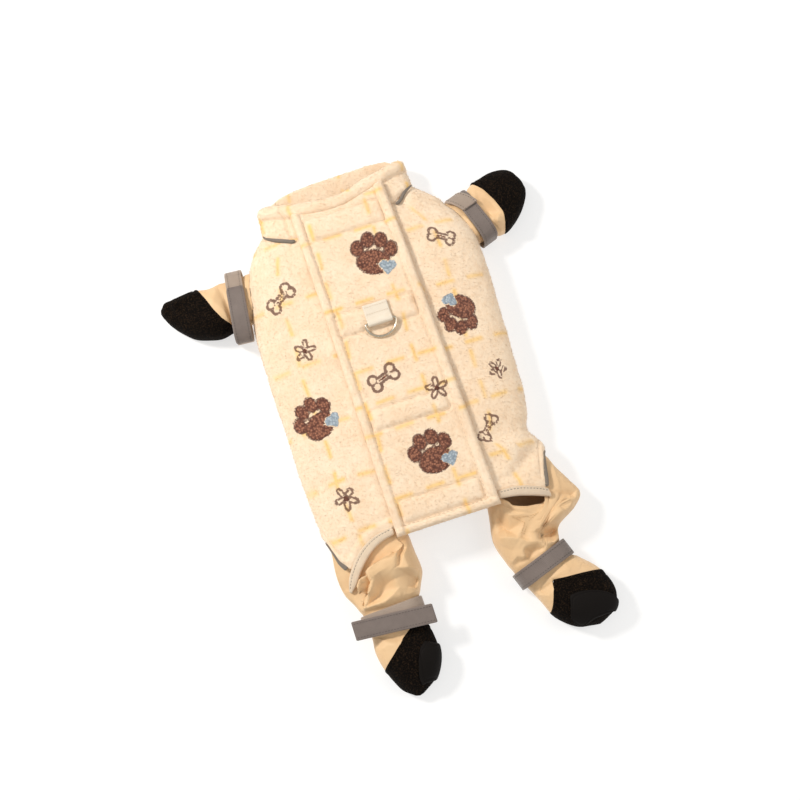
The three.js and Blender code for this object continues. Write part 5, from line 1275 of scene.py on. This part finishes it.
def tube(name, limb, band_at, rows, growth, flat, node):
    """A cloth tube from its root to the boot's border, with its creases and crumples."""
    is_leg = limb["height"] > 30
    columns = 172 if is_leg else 132
    b = round_angles(columns, 0.22)
    start, end = root_at(limb, b), border_at(limb, b) - GAP / limb["length"]
    ahead = mix(start[None, :], end[None, :], np.linspace(0, 1, rows)[:, None])
    p = limb_point(limb, ahead, b, 0.0, True)
    from_start = (ahead - start) * limb["length"]
    from_end = (end - ahead) * limb["length"]
    band = np.abs(ahead - band_at) * limb["length"]
    margin = 5 if is_leg else 2.5
    under_strap = ease(STRAP_WIDE / 2 + margin, STRAP_WIDE / 2 + 0.6, band)
    hold = np.maximum(ease(9, 3, from_start), ease(4, 0.5, from_end))
    hold = np.maximum(hold, under_strap)
    if is_leg:
        hold = np.maximum(hold, ease(0.0, 0.35, covered(p, 0.0)[0]))
    hold = np.maximum(hold, ease(0.3, -0.2, np.sin(b))[None, :] * 0.9)
    plain = limb_point(limb, ahead, b, -0.5, False)
    p = mix(p, plain, (under_strap * 0.9)[..., None])
    gathers = ease(7, 0, from_start) * ease(0.2, 0.9, np.sin(b)) * ease(66, 58, p[..., 0])
    p[..., 2] += 0.3 * gathers * np.sin(p[..., 0] * 2 * math.pi / 4.2) * (1 - under_strap)
    rim = 0.9 * bell(from_start, 2.4, 1.7)
    rim = rim - 0.6 * bell(from_start, 5.8, 1.0)
    p[..., 2] += rim * ease(0.2, 0.7, np.sin(b)) * (p[..., 1] < -125) * ease(66, 58, p[..., 0])
    p = crumple(p, np.where(hold > 0.97, 1.0, 0.5 + 0.45 * hold), growth)
    for x, y, reach in limb["calm"]:
        near = ease(reach, reach * 0.5, np.hypot(p[..., 0] - x, p[..., 1] - y)) * (np.sin(b) > 0)
        for _ in range(14):
            around = (np.roll(p, 1, 0) + np.roll(p, -1, 0) + np.roll(p, 1, 1) + np.roll(p, -1, 1)) / 4
            p[1:-1] = mix(p, around, (near * 0.7)[..., None])[1:-1]
    push = grid_normals(p, True)
    for _ in range(8):
        soften(push)
        push = (np.roll(push, 1, 1) + 2 * push + np.roll(push, -1, 1)) / 4
    push /= np.linalg.norm(push, axis=-1, keepdims=True)
    inner = p - push * CLOTH
    inner[..., 2] = np.maximum(inner[..., 2], 0.15)
    around = np.linspace(0, 2 * math.pi * limb["half"] * 0.8, columns + 1)
    u = np.broadcast_to(around, (rows, columns + 1))
    v = np.concatenate([ahead, ahead[:, :1]], 1) * limb["length"]
    piece = wall(name, p, inner, u, v, True, woven)
    place(piece, "woven_cloth", node)
    grid = np.concatenate([p, p[:, :1]], 1)
    d1, d2 = np.diff(grid, axis=0)[:, :-1], np.diff(grid, axis=1)[:-1]
    area = float(np.linalg.norm(np.cross(d1, d2), axis=-1).sum()) * 1e-6
    print(name, "skin area", round(area, 5), "cut", flat)
    return p


# name, limb, where its strap sits, rows, growth, cut in metres, node
tube("sleeve_cloth_l", SLEEVE_LEFT, 0.245, 56, 0.04, (0.13, 0.034), "sleeve_left")
tube("sleeve_cloth_r", SLEEVE_RIGHT, 0.255, 56, 0.05, (0.13, 0.034), "sleeve_right")
tube("leg_cloth_l", LEG_LEFT, 0.605, 138, 0.07, (0.175, 0.098), "leg_left")
skin_right_leg = tube("leg_cloth_r", LEG_RIGHT, 0.60, 138, 0.07, (0.175, 0.1), "leg_right")


# %% Boots
def boot(name, limb, node):
    """A knitted boot that draws together at the toe, with a seam along its border."""
    rows, columns = 46, 96
    b = round_angles(columns, 0.22)
    tip = limb["sections"][-1, 0]
    t = np.sin(math.pi / 2 * np.linspace(0, 1, rows))[:, None]
    start = border_at(limb, b)[None, :]
    ahead = mix(start, tip, t)
    p = limb_point(limb, ahead, b, 0.35, True)
    centre, forward, _, _, tall, lift, _ = limb_station(limb, np.array(tip))
    toe = np.array([*(centre + forward * 1.2), (tall + lift) / 2])
    p[-1] = toe + (p[-2] - toe) * 0.12
    n = grid_normals(p, True)
    walk = (ahead - start) * limb["length"]
    relief = 0.3 * ripple(p[..., 0], p[..., 1], 8, 51) + 0.12 * ripple(p[..., 0], p[..., 1], 2.6, 52)
    relief = relief + 0.5 * bell(walk, 1.2, 1.1)
    relief = relief - 0.5 * bell(walk, 3.4, 0.8)
    relief = relief * ease(1, 0.93, t)
    p = p + n * (relief * ease(-0.2, 0.3, np.sin(b)))[..., None]
    p[..., 2] = np.maximum(p[..., 2], 0.0)
    inner = p - n * CLOTH
    inner[..., 2] = np.maximum(inner[..., 2], 0.2)
    inner[-1] = toe - (*(forward * CLOTH), 0)
    p[-1] = toe
    around = np.linspace(0, 2 * math.pi * limb["half"] * 0.8, columns + 1)
    u = np.broadcast_to(around, (rows, columns + 1))
    v = np.concatenate([ahead, ahead[:, :1]], 1) * limb["length"]
    piece = wall(name, p, inner, u, v, True, boot_knit, roll=1)
    welded = bmesh.new()
    welded.from_mesh(piece.data)
    bmesh.ops.remove_doubles(welded, verts=welded.verts, dist=2e-6)
    bmesh.ops.recalc_face_normals(welded, faces=welded.faces)
    welded.to_mesh(piece.data)
    welded.free()
    place(piece, "boot_knit", node)


boot("boot_front_l", SLEEVE_LEFT, "front_boot_left")
boot("boot_front_r", SLEEVE_RIGHT, "front_boot_right")
boot("boot_rear_l", LEG_LEFT, "rear_boot_left")
boot("boot_rear_r", LEG_RIGHT, "rear_boot_right")
print("boots: 4")


# %% Soles
def sole(name, limb, edge_line, end, node):
    """A smooth patch sewn on a rear boot, its upper edge given by angle and start."""
    cells = 44
    across = np.linspace(0, 1, cells)[None, :]
    along = np.linspace(0, 1, cells)[:, None]
    bow = 0.05 * (2 * along - 1) ** 2
    turn = mix(edge_line[0][0], edge_line[-1][0], mix(bow, 1 - bow, across))
    b = np.radians(turn)
    start = read(np.array(edge_line), turn)
    tip = limb["sections"][-1, 0]
    ahead = mix(border_at(limb, b), tip, mix(start, end, along))
    edge = np.minimum(np.minimum(across, 1 - across), np.minimum(along, 1 - along)) * 20
    crown = rounded(edge / 1.4, 0.1)
    base = limb_point(limb, ahead, b, 0.5, True)
    n = grid_normals(base, False)
    sewn = 0.45 * bell(edge, 1.9, 0.45)
    outer = base + n * ((SOLE + 0.35) * crown - sewn)[..., None]
    u, v = np.broadcast_arrays(25 * across, 30 * along)
    place(wall(name, outer, base, u, v, False, boot_sole), "boot_sole", node)


SOLE_EDGE_LEFT = [(5, 0.34), (30, 0.32), (60, 0.26), (76, 0.36), (88, 0.55)]
SOLE_EDGE_RIGHT = [(14, 0.74), (43, 0.60), (92, 0.33), (104, 0.33), (136, 0.52), (155, 0.78)]
sole("sole_l", LEG_LEFT, SOLE_EDGE_LEFT, 0.86, "rear_sole_left")
sole("sole_r", LEG_RIGHT, SOLE_EDGE_RIGHT, 0.88, "rear_sole_right")
print("soles: 2")

# %% [markdown]
# ## Straps
#
# Tapes round the limbs, fastened on themselves. Each has a woven face, and all but the left leg's loop
# get rows of stitches.

# %% Strap loops and their ends
# limb, place along it, room left near and far of it in mm, slant in degrees
BANDS = {
    "sleeve_l": (SLEEVE_LEFT, 0.245, 3.5, 10, 2), "sleeve_r": (SLEEVE_RIGHT, 0.235, 0, 0, 0),
    "leg_l": (LEG_LEFT, 0.605, 0.4, 0.4, -2), "leg_r": (LEG_RIGHT, 0.60, 0.5, 0.6, 0),
}


def loop_point(band, b, along, grow):
    """A point of a strap loop at angle b, along its width and grown outwards."""
    limb, ahead, near_spare, far_spare, skew = BANDS[band]
    centre, forward, side, top, near, far = band_room(limb, ahead)
    near, far = near - GAP - near_spare, far + GAP + far_spare
    tall = top + GAP + LOOP_SLACK
    waist = WAIST * tall
    across = (near + far) / 2 + ((far - near) / 2 + grow) * across_of(b, 0.6)
    ahead_by = along * STRAP_WIDE + math.tan(math.radians(skew)) * across
    flat = centre + side * across[..., None] + forward * ahead_by[..., None]
    low = waist - ((waist - STRAP_PLY) * FLAT + grow) * rise_of(b, 0.6)
    low = np.maximum(low, np.maximum(0, STRAP_PLY - grow))
    z = np.where(np.sin(b) >= 0, waist + (tall - waist + grow) * rise_of(b, 0.6), low)
    return np.concatenate([flat, z[..., None]], -1)


def strap_loop(name, band, look, slot, node):
    """A tape round a limb. Returns the lines of its stitches."""
    b = round_angles(110, 0.2)[None, :]
    along = np.linspace(-0.47, 0.47, 9)[:, None]
    wave = 0.12 * np.sin(3 * b + 2 * along)
    b, along = np.broadcast_arrays(b, along)
    outer = loop_point(band, b, along, STRAP_PLY - 0.1 + wave)
    inner = loop_point(band, b, along, 0.15)
    u, v = np.broadcast_arrays(np.linspace(0, 130, 111), along[:, :1] * STRAP_WIDE)
    piece = place(wall(name, outer, inner, u, v, True, look), slot, node)
    return [line[np.sin(b[0]) > 0.02] + (0, 0, 0.1) for line in (outer[1], outer[-2])]


def strap_end(name, band, look, slot, node, first, last, wide_by, shift, lean):
    """A loose end of tape on a loop, between two angles. Returns the lines of its stitches."""
    b = np.radians(np.linspace(first, last, 40))[None, :]
    along = np.linspace(-0.5, 0.5, 11)[:, None]
    run = np.linspace(0, 1, 40)[None, :]
    trim = rounded(np.minimum(run, 1 - run) * 14, 0.02)
    offset = along * wide_by * mix(0.86, 1, trim) + shift + lean * (run - 0.5)
    base = STRAP_PLY + GAP
    b, offset = np.broadcast_arrays(b, offset)
    outer = loop_point(band, b, offset, base + STRAP_PLY)
    inner = loop_point(band, b, offset, base - 0.25)
    u, v = np.broadcast_arrays(40 * run, along * STRAP_WIDE)
    piece = place(wall(name, outer, inner, u, v, False, look), slot, node)
    return [outer[1] + (0, 0, 0.1), outer[-2] + (0, 0, 0.1)]


seams = {
    "sleeve_l": strap_loop("strap_sleeve_l", "sleeve_l", strap_pale, "strap_pale",
                           "sleeve_strap_left"),
    "sleeve_r": strap_loop("strap_sleeve_r", "sleeve_r", strap, "strap",
                           "sleeve_strap_right"),
    "leg_l": strap_loop("strap_leg_l", "leg_l", strap_pale, "strap_pale",
                        "leg_strap_left"),
    "leg_r": strap_loop("strap_leg_r", "leg_r", strap, "strap", "leg_strap_right"),
    "end_l": strap_end("strap_end_sleeve_l", "sleeve_l", strap, "strap",
                       "sleeve_strap_end_left", 8, 103, 0.96, 0, 0),
    "end_r": strap_end("strap_end_sleeve_r", "sleeve_r", strap_pale, "strap_pale",
                       "sleeve_strap_end_right", 36, 84, 1.0, -0.22, 0.55),
}

# %% The long loose end across the left leg
BAR_LONG, BAR_DROOP = 61.0, 4.0
centre, forward, side, top, _, _ = band_room(LEG_LEFT, 0.605)
across = (np.linspace(-1, 1, 60) * BAR_LONG / 2 - 1.5)[None, :]
reach = np.abs(np.linspace(-1, 1, 60))[None, :]
along = np.linspace(-0.5, 0.5, 11)[:, None] * mix(0.93, 1, ease(1.0, 0.97, reach)) * STRAP_WIDE
lean = math.tan(math.radians(5)) * across
flat = centre + side * across[..., None] + forward * (along + 5.5 + lean)[..., None]
rest = top + LOOP_SLACK + 2 * GAP + STRAP_PLY
z = rest - BAR_DROOP * np.maximum(reach - 0.7, 0) ** 1.5 + 0.25 * np.sin(across / 9)
across, z = (np.broadcast_to(grid, along.shape) for grid in (across, z))
outer = np.concatenate([flat, (z + STRAP_PLY)[..., None]], -1)
inner = np.concatenate([flat, z[..., None]], -1)
bar = wall("strap_end_leg_l", outer, inner, across, along, False, strap)
place(bar, "strap", "leg_strap_end_left")
bar_seams = [outer[1, 2:-2] + (0, 0, 0.1), outer[-2, 2:-2] + (0, 0, 0.1)]
print("straps: 7")

# %% [markdown]
# ## The D-ring on its webbing tab

# %% Webbing tab
RING_X = -0.031 * HALF
TAB_TOP_Y = 0.15 * LENGTH
BAR_Y = TAB_TOP_Y - TAB_LONG
EYE = WIRE / 2 + WIRE_ROOM + TAB_PLY
TAB_BASE = float(body_top(np.array(RING_X), np.array((TAB_TOP_Y + BAR_Y) / 2), GAP + PANEL_PAD)) + GAP
BAR_Z = TAB_BASE + EYE
radius = EYE - TAB_PLY / 2
lower = [(s, TAB_PLY / 2) for s in np.linspace(TAB_LONG, 0.3, 14)]
eye = [(-radius * math.sin(k), EYE - radius * math.cos(k)) for k in np.linspace(0, 0.86 * math.pi, 20)]
upper_ply = [(s, mix(EYE + radius * 0.9, 1.5 * TAB_PLY, float(ease(0.4, 5.0, s))))
             for s in np.linspace(1.2, TAB_LONG, 22)]
path = np.array(lower + eye + upper_ply)
tangent = np.gradient(path, axis=0)
tangent /= np.linalg.norm(tangent, axis=1, keepdims=True)
normal = np.stack([-tangent[:, 1], tangent[:, 0]], 1)
acrosses = np.linspace(-TAB_WIDE / 2, TAB_WIDE / 2, 21)[None, :]


def tab_skin(side_by):
    """The webbing's skin, off the middle of its thickness by side_by."""
    p = path + normal * side_by
    grid = np.empty((len(path), acrosses.shape[1], 3))
    grid[..., 0] = RING_X + acrosses
    grid[..., 1] = BAR_Y + p[:, :1]
    grid[..., 2] = TAB_BASE + p[:, 1:]
    return grid


thick = TAB_PLY / 2 - 0.08
walk = np.concatenate([[0], np.cumsum(np.linalg.norm(np.diff(path, axis=0), axis=1))])[:, None]
u, v = np.broadcast_arrays(acrosses, walk)
tab = wall("ring_webbing", tab_skin(thick), tab_skin(-thick), u, v, False, webbing)
place(tab, "webbing", "ring_tab")
print("tab length", round(float(walk[-1, 0]), 1), "mm")

# %% D-ring
half, deep = RING_WIDE / 2 - WIRE / 2, RING_DEEP - WIRE
line = [(x, 0.0) for x in np.linspace(-half + WIRE_CORNER, half - WIRE_CORNER, 12)]
corner = np.linspace(0, math.pi / 2, 6)[1:]
line += [(half - WIRE_CORNER + WIRE_CORNER * math.sin(k), WIRE_CORNER - WIRE_CORNER * math.cos(k))
         for k in corner]
line += [(half * math.cos(k), WIRE_CORNER + (deep - WIRE_CORNER) * math.sin(k))
         for k in np.linspace(0, math.pi, 60)[1:-1]]
line += [(-half + WIRE_CORNER - WIRE_CORNER * math.cos(k), WIRE_CORNER - WIRE_CORNER * math.sin(k))
         for k in np.linspace(0, math.pi / 2, 6)[:-1]]
line = np.array(line)
tangent = np.roll(line, -1, 0) - np.roll(line, 1, 0)
tangent /= np.linalg.norm(tangent, axis=1, keepdims=True)
sides = 16
b = np.linspace(0, 2 * math.pi, sides, endpoint=False)
points = np.empty((len(line), sides, 3))
points[..., 0] = line[:, :1] + tangent[:, 1:] * np.cos(b) * WIRE / 2
points[..., 1] = -(line[:, 1:] - tangent[:, :1] * np.cos(b) * WIRE / 2)
points[..., 2] = np.sin(b) * WIRE / 2
rest = float(body_top(np.array(RING_X), np.array(BAR_Y - deep), GAP + PANEL_BASE)) + WIRE / 2 + WIRE_ROOM
lean = math.asin(min(max((BAR_Z - rest) / deep, -1), 1))
level_y, level_z = points[..., 1].copy(), points[..., 2].copy()
points[..., 1] = BAR_Y + level_y * math.cos(lean) - level_z * math.sin(lean)
points[..., 2] = BAR_Z + level_y * math.sin(lean) + level_z * math.cos(lean)
points[..., 0] += RING_X
faces = [[i * sides + j, i * sides + (j + 1) % sides, (i + 1) % len(line) * sides + (j + 1) % sides,
          (i + 1) % len(line) * sides + j] for i in range(len(line)) for j in range(sides)]
ring = object_of("ring_wire", points.reshape(-1, 3), faces, ring_metal)
place(ring, "ring_metal", "d_ring", body="ring")
print("ring leans", round(math.degrees(lean), 1), "degrees")

# %% [markdown]
# ## Stitches and pile
#
# Geometry Nodes repeat a stitch along each sewn line, and stand short fibres on the fleece.

# %% Stitches
def geometry_group(name, inputs):
    """A geometry group with its own named inputs."""
    group = bpy.data.node_groups.new(name, "GeometryNodeTree")
    for label, kind in [("Geometry", "NodeSocketGeometry"), *inputs]:
        group.interface.new_socket(label, in_out="INPUT", socket_type=kind)
    group.interface.new_socket("Geometry", in_out="OUTPUT", socket_type="NodeSocketGeometry")
    return group, group.nodes.new("NodeGroupInput"), group.nodes.new("NodeGroupOutput")


def run_nodes(piece, group, **values):
    """Runs a geometry group on a piece with its inputs set, and keeps the plain mesh."""
    modifier = piece.modifiers.new("repeat", "NODES")
    modifier.node_group = group
    for item in group.interface.items_tree:
        if item.in_out == "INPUT" and item.name in values:
            modifier[item.identifier] = values[item.name]
    return applied(piece)


sewing, g_in, g_out = geometry_group("stitch run", [
    ("Spacing", FLOAT), ("Stitch", "NodeSocketObject"), ("Material", "NodeSocketMaterial")])
to_curve = add(sewing, "GeometryNodeMeshToCurve", Mesh=g_in.outputs["Geometry"])
even = add(sewing, "GeometryNodeResampleCurve", {"mode": "LENGTH"}, Curve=to_curve.outputs[0],
           Length=g_in.outputs["Spacing"])
stitch_info = add(sewing, "GeometryNodeObjectInfo", Object=g_in.outputs["Stitch"])
curve_tangent = sewing.nodes.new("GeometryNodeInputTangent")
facing = add(sewing, "FunctionNodeAlignRotationToVector", {"axis": "X"},
             Vector=curve_tangent.outputs[0])
row_of_stitches = add(sewing, "GeometryNodeInstanceOnPoints", Points=even.outputs[0],
                      Instance=stitch_info.outputs["Geometry"], Rotation=facing.outputs[0])
real = add(sewing, "GeometryNodeRealizeInstances", Geometry=row_of_stitches.outputs[0])
dressed = add(sewing, "GeometryNodeSetMaterial", Geometry=real.outputs[0],
              Material=g_in.outputs["Material"])
sewing.links.new(dressed.outputs[0], g_out.inputs[0])


def stitch_shape(long, thick):
    """One stitch: a small rounded bar that dips at both ends."""
    rings = [(-0.5, 0.35, -0.5), (-0.32, 0.9, 0.0), (0, 1.0, 0.25), (0.32, 0.9, 0.0), (0.5, 0.35, -0.5)]
    points = []
    for along, size, dip in rings:
        r = size * thick / 2
        for j in range(6):
            turn = math.pi * j / 3
            points.append((along * long, r * math.cos(turn), dip * thick + r * math.sin(turn)))
    faces = tube_faces(5, 6) + [list(range(6)), list(range(24, 30))]
    made = object_of("stitch", np.array(points), faces, thread)
    made.hide_render = True
    return made


def stitches(name, lines, spacing, long, thick, look, slot):
    """Rows of stitches along lines given in mm."""
    points, edges = [], []
    for line in lines:
        edges += [(len(points) + k, len(points) + k + 1) for k in range(len(line) - 1)]
        points += (np.asarray(line) * MM).tolist()
    mesh = bpy.data.meshes.new(name)
    mesh.from_pydata(points, edges, [])
    piece = linked(name, mesh)
    stitch = stitch_shape(long, thick)
    run_nodes(piece, sewing, Spacing=spacing * MM, Stitch=stitch, Material=look)
    bpy.data.objects.remove(stitch)
    piece.data.shade_smooth()
    return place(piece, slot)


def panel_line(x, y):
    """A line on the panel's top at x and y."""
    left, right = panel_x(0.0, y), panel_x(1.0, y)
    lift = panel_lift(x, y, x - left, right - x)
    stand = 0.9 * ease(12, 2, right - x)
    return np.stack([x, y, body_top(x, y, GAP + stand) + lift + 0.25], -1)


down = np.linspace(-130, 120, 260)
hems = [panel_line(panel_x(0.0, down) + 7.0, down), panel_line(panel_x(1.0, down) - 8.0, down)]
sideways = np.linspace(-33, 30, 60)
hems.append(panel_line(sideways, np.full(len(sideways), PANEL_END * LENGTH + 6.0)))
stitches("panel_stitches", hems, 3.2, 2.1, 0.42, thread, "fleece")
stitches("binding_stitches", [sewn_l, sewn_r], 2.4, 1.6, 0.4, thread_dark, "binding")
strap_lines = [*seams["end_l"], *bar_seams, *seams["sleeve_r"], *seams["leg_r"], *seams["end_r"],
               *seams["sleeve_l"]]
stitches("strap_stitches", strap_lines, 2.2, 1.4, 0.34, thread_dark, "strap")
tab_line = [np.stack([RING_X + np.linspace(-8, 8, 20), np.full(20, BAR_Y + s),
                      np.full(20, TAB_BASE + 2 * TAB_PLY + 0.1)], -1) for s in (7.5, 13.2)]
stitches("tab_stitches", tab_line, 1.9, 1.3, 0.36, thread, "webbing")


def on_leg(line):
    """A line drawn on the right leg's cloth, through its nearest points."""
    skin = skin_right_leg.reshape(-1, 3)
    skin = skin[skin[:, 2] > 12]
    dense = [mix(np.array(p), np.array(q), t) for p, q in zip(line[:-1], line[1:])
             for t in np.linspace(0, 1, 24, endpoint=False)]
    found = []
    for p in dense:
        away = np.hypot(skin[:, 0] - p[0], skin[:, 1] - p[1])
        near = np.argsort(away)[:4]
        found.append((p[0], p[1], skin[near, 2].mean() + 0.2))
    return np.array(found)


GUSSET = [[(46, -149), (53, -155.5), (47.5, -163.5)], [(65, -151.5), (55.5, -155.5), (50, -163.5)],
          [(47, -150), (56, -151.8), (65, -152)]]
stitches("gusset_stitches", [on_leg(line) for line in GUSSET], 1.7, 1.2, 0.42, thread_tan, "woven_cloth")
print("stitch runs: 5")

# %% Pile fibres
furry, g_in, g_out = geometry_group("pile", [
    ("Density", FLOAT), ("Length", FLOAT), ("Seed", "NodeSocketInt"), ("Fibre", "NodeSocketObject"),
    ("Material", "NodeSocketMaterial")])
facing_up = furry.nodes.new("GeometryNodeInputNormal")
parts = add(furry, "ShaderNodeSeparateXYZ", Vector=facing_up.outputs[0])
seen = add(furry, "ShaderNodeMath", {"operation": "GREATER_THAN"}, _0=parts.outputs[2], _1=-0.35)
scatter = add(furry, "GeometryNodeDistributePointsOnFaces", Mesh=g_in.outputs["Geometry"],
              Density=g_in.outputs["Density"], Seed=g_in.outputs["Seed"],
              Selection=seen.outputs[0])
fibre_info = add(furry, "GeometryNodeObjectInfo", Object=g_in.outputs["Fibre"])
tilt = add(furry, "FunctionNodeRandomValue", {"data_type": "FLOAT_VECTOR"}, _0=(-0.9, -0.9, -3.1),
           _1=(0.9, 0.9, 3.1), Seed=g_in.outputs["Seed"])
turned = add(furry, "FunctionNodeRotateRotation", {"rotation_space": "LOCAL"},
             Rotation=scatter.outputs["Rotation"], Rotate_By=tilt.outputs[0])
sizes = add(furry, "FunctionNodeRandomValue", {"data_type": "FLOAT"}, _2=0.6, _3=1.25,
            Seed=g_in.outputs["Seed"])
scaled = add(furry, "ShaderNodeMath", {"operation": "MULTIPLY"}, _0=sizes.outputs[1],
             _1=g_in.outputs["Length"])
blades = add(furry, "GeometryNodeInstanceOnPoints", Points=scatter.outputs["Points"],
             Instance=fibre_info.outputs["Geometry"], Rotation=turned.outputs[0],
             Scale=scaled.outputs[0])
real = add(furry, "GeometryNodeRealizeInstances", Geometry=blades.outputs[0])
dressed = add(furry, "GeometryNodeSetMaterial", Geometry=real.outputs[0],
              Material=g_in.outputs["Material"])
furry.links.new(dressed.outputs[0], g_out.inputs[0])

fibre = object_of("fibre", np.array([(0.16, 0, 0), (-0.08, 0.14, 0), (-0.08, -0.14, 0), (0.1, 0.0, 0.55),
                                     (0.35, 0.05, 1.0)]) * 1000,
                  [[0, 1, 3], [1, 2, 3], [2, 0, 3], [0, 3, 4]], fleece)
fibre.hide_render = True


def furred(name, source, density, long, seed):
    """Short fibres standing on a fleece piece, dyed as the skin below them."""
    piece = linked(name, source.data.copy())
    run_nodes(piece, furry, Density=density, Length=long * MM, Seed=seed, Fibre=fibre, Material=fleece)
    print(name, len(piece.data.polygons), "faces")
    return place(piece, "fleece")


piles = [furred("pile_body", torso, 410000.0, 1.2, 1), furred("pile_collar", collar, 560000.0, 1.15, 2),
         furred("pile_panel", panel, 560000.0, 1.15, 3)]
bpy.data.objects.remove(fibre)

# %% [markdown]
# ## Floor, light and camera

# %% Floor
ground, tree, shader, where, _ = new_material("studio paper")
tint = blend_colour(tree, noise(tree, where, 6.0), (0.42, 0.42, 0.42, 1), (0.44, 0.44, 0.44, 1))
finish(tree, shader, tint, Roughness=0.9, Specular_IOR_Level=0.1,
       Emission_Color=(1, 0.995, 0.985, 1), Emission_Strength=0.62)
FLOOR_HALF, FLOOR_Z = 3e3, -0.3
corners = [(x, y, FLOOR_Z) for x, y in ((-1, -1), (1, -1), (1, 1), (-1, 1))]
floor = object_of("floor", np.array(corners) * (FLOOR_HALF, FLOOR_HALF, 1), [[0, 1, 2, 3]], ground)

# %% Light
MIDDLE = Vector((0, 0, 0.02))
world = bpy.data.worlds.new("studio")
bpy.context.scene.world = world
world.use_nodes = True
sky = world.node_tree.nodes["Background"]
sky.inputs["Color"].default_value = (1, 1, 1, 1)
sky.inputs["Strength"].default_value = 0.52


def lamp(name, spot, size, power, colour):
    """A round lamp that looks at the middle of the garment."""
    light = bpy.data.lights.new(name, "AREA")
    light.shape = "DISK"
    light.size = size
    light.energy = power
    light.color = colour
    made = linked(name, light)
    made.location = spot
    made.rotation_euler = (MIDDLE - Vector(spot)).to_track_quat("-Z", "Y").to_euler()


# name, place in metres, size in metres, power in watts, colour
lamp("key", (-0.95, 0.75, 1.2), 0.28, 21.0, (1.0, 0.965, 0.925))
lamp("fill", (1.1, -0.3, 1.2), 1.0, 5.5, (1.0, 0.98, 0.96))

# %% Camera
AZIMUTH, ELEVATION, AWAY = math.radians(-18), math.radians(76), 1.0
PICTURE = 800
back = Vector((math.sin(AZIMUTH) * math.cos(ELEVATION), -math.cos(AZIMUTH) * math.cos(ELEVATION),
               math.sin(ELEVATION)))
right = Vector((math.cos(AZIMUTH), math.sin(AZIMUTH), 0))
camera = linked("camera", bpy.data.cameras.new("camera"))
camera.data.sensor_width = 36.0
camera.data.lens = 57.7
camera.data.shift_x = 7 / PICTURE
camera.data.shift_y = -45 / PICTURE
camera.data.clip_start = 0.05
axes = Matrix((right, back.cross(right), back)).transposed()
camera.matrix_world = Matrix.Translation(MIDDLE + back * AWAY) @ axes.to_4x4()
bpy.context.scene.camera = camera
bpy.context.scene.view_settings.view_transform = "Standard"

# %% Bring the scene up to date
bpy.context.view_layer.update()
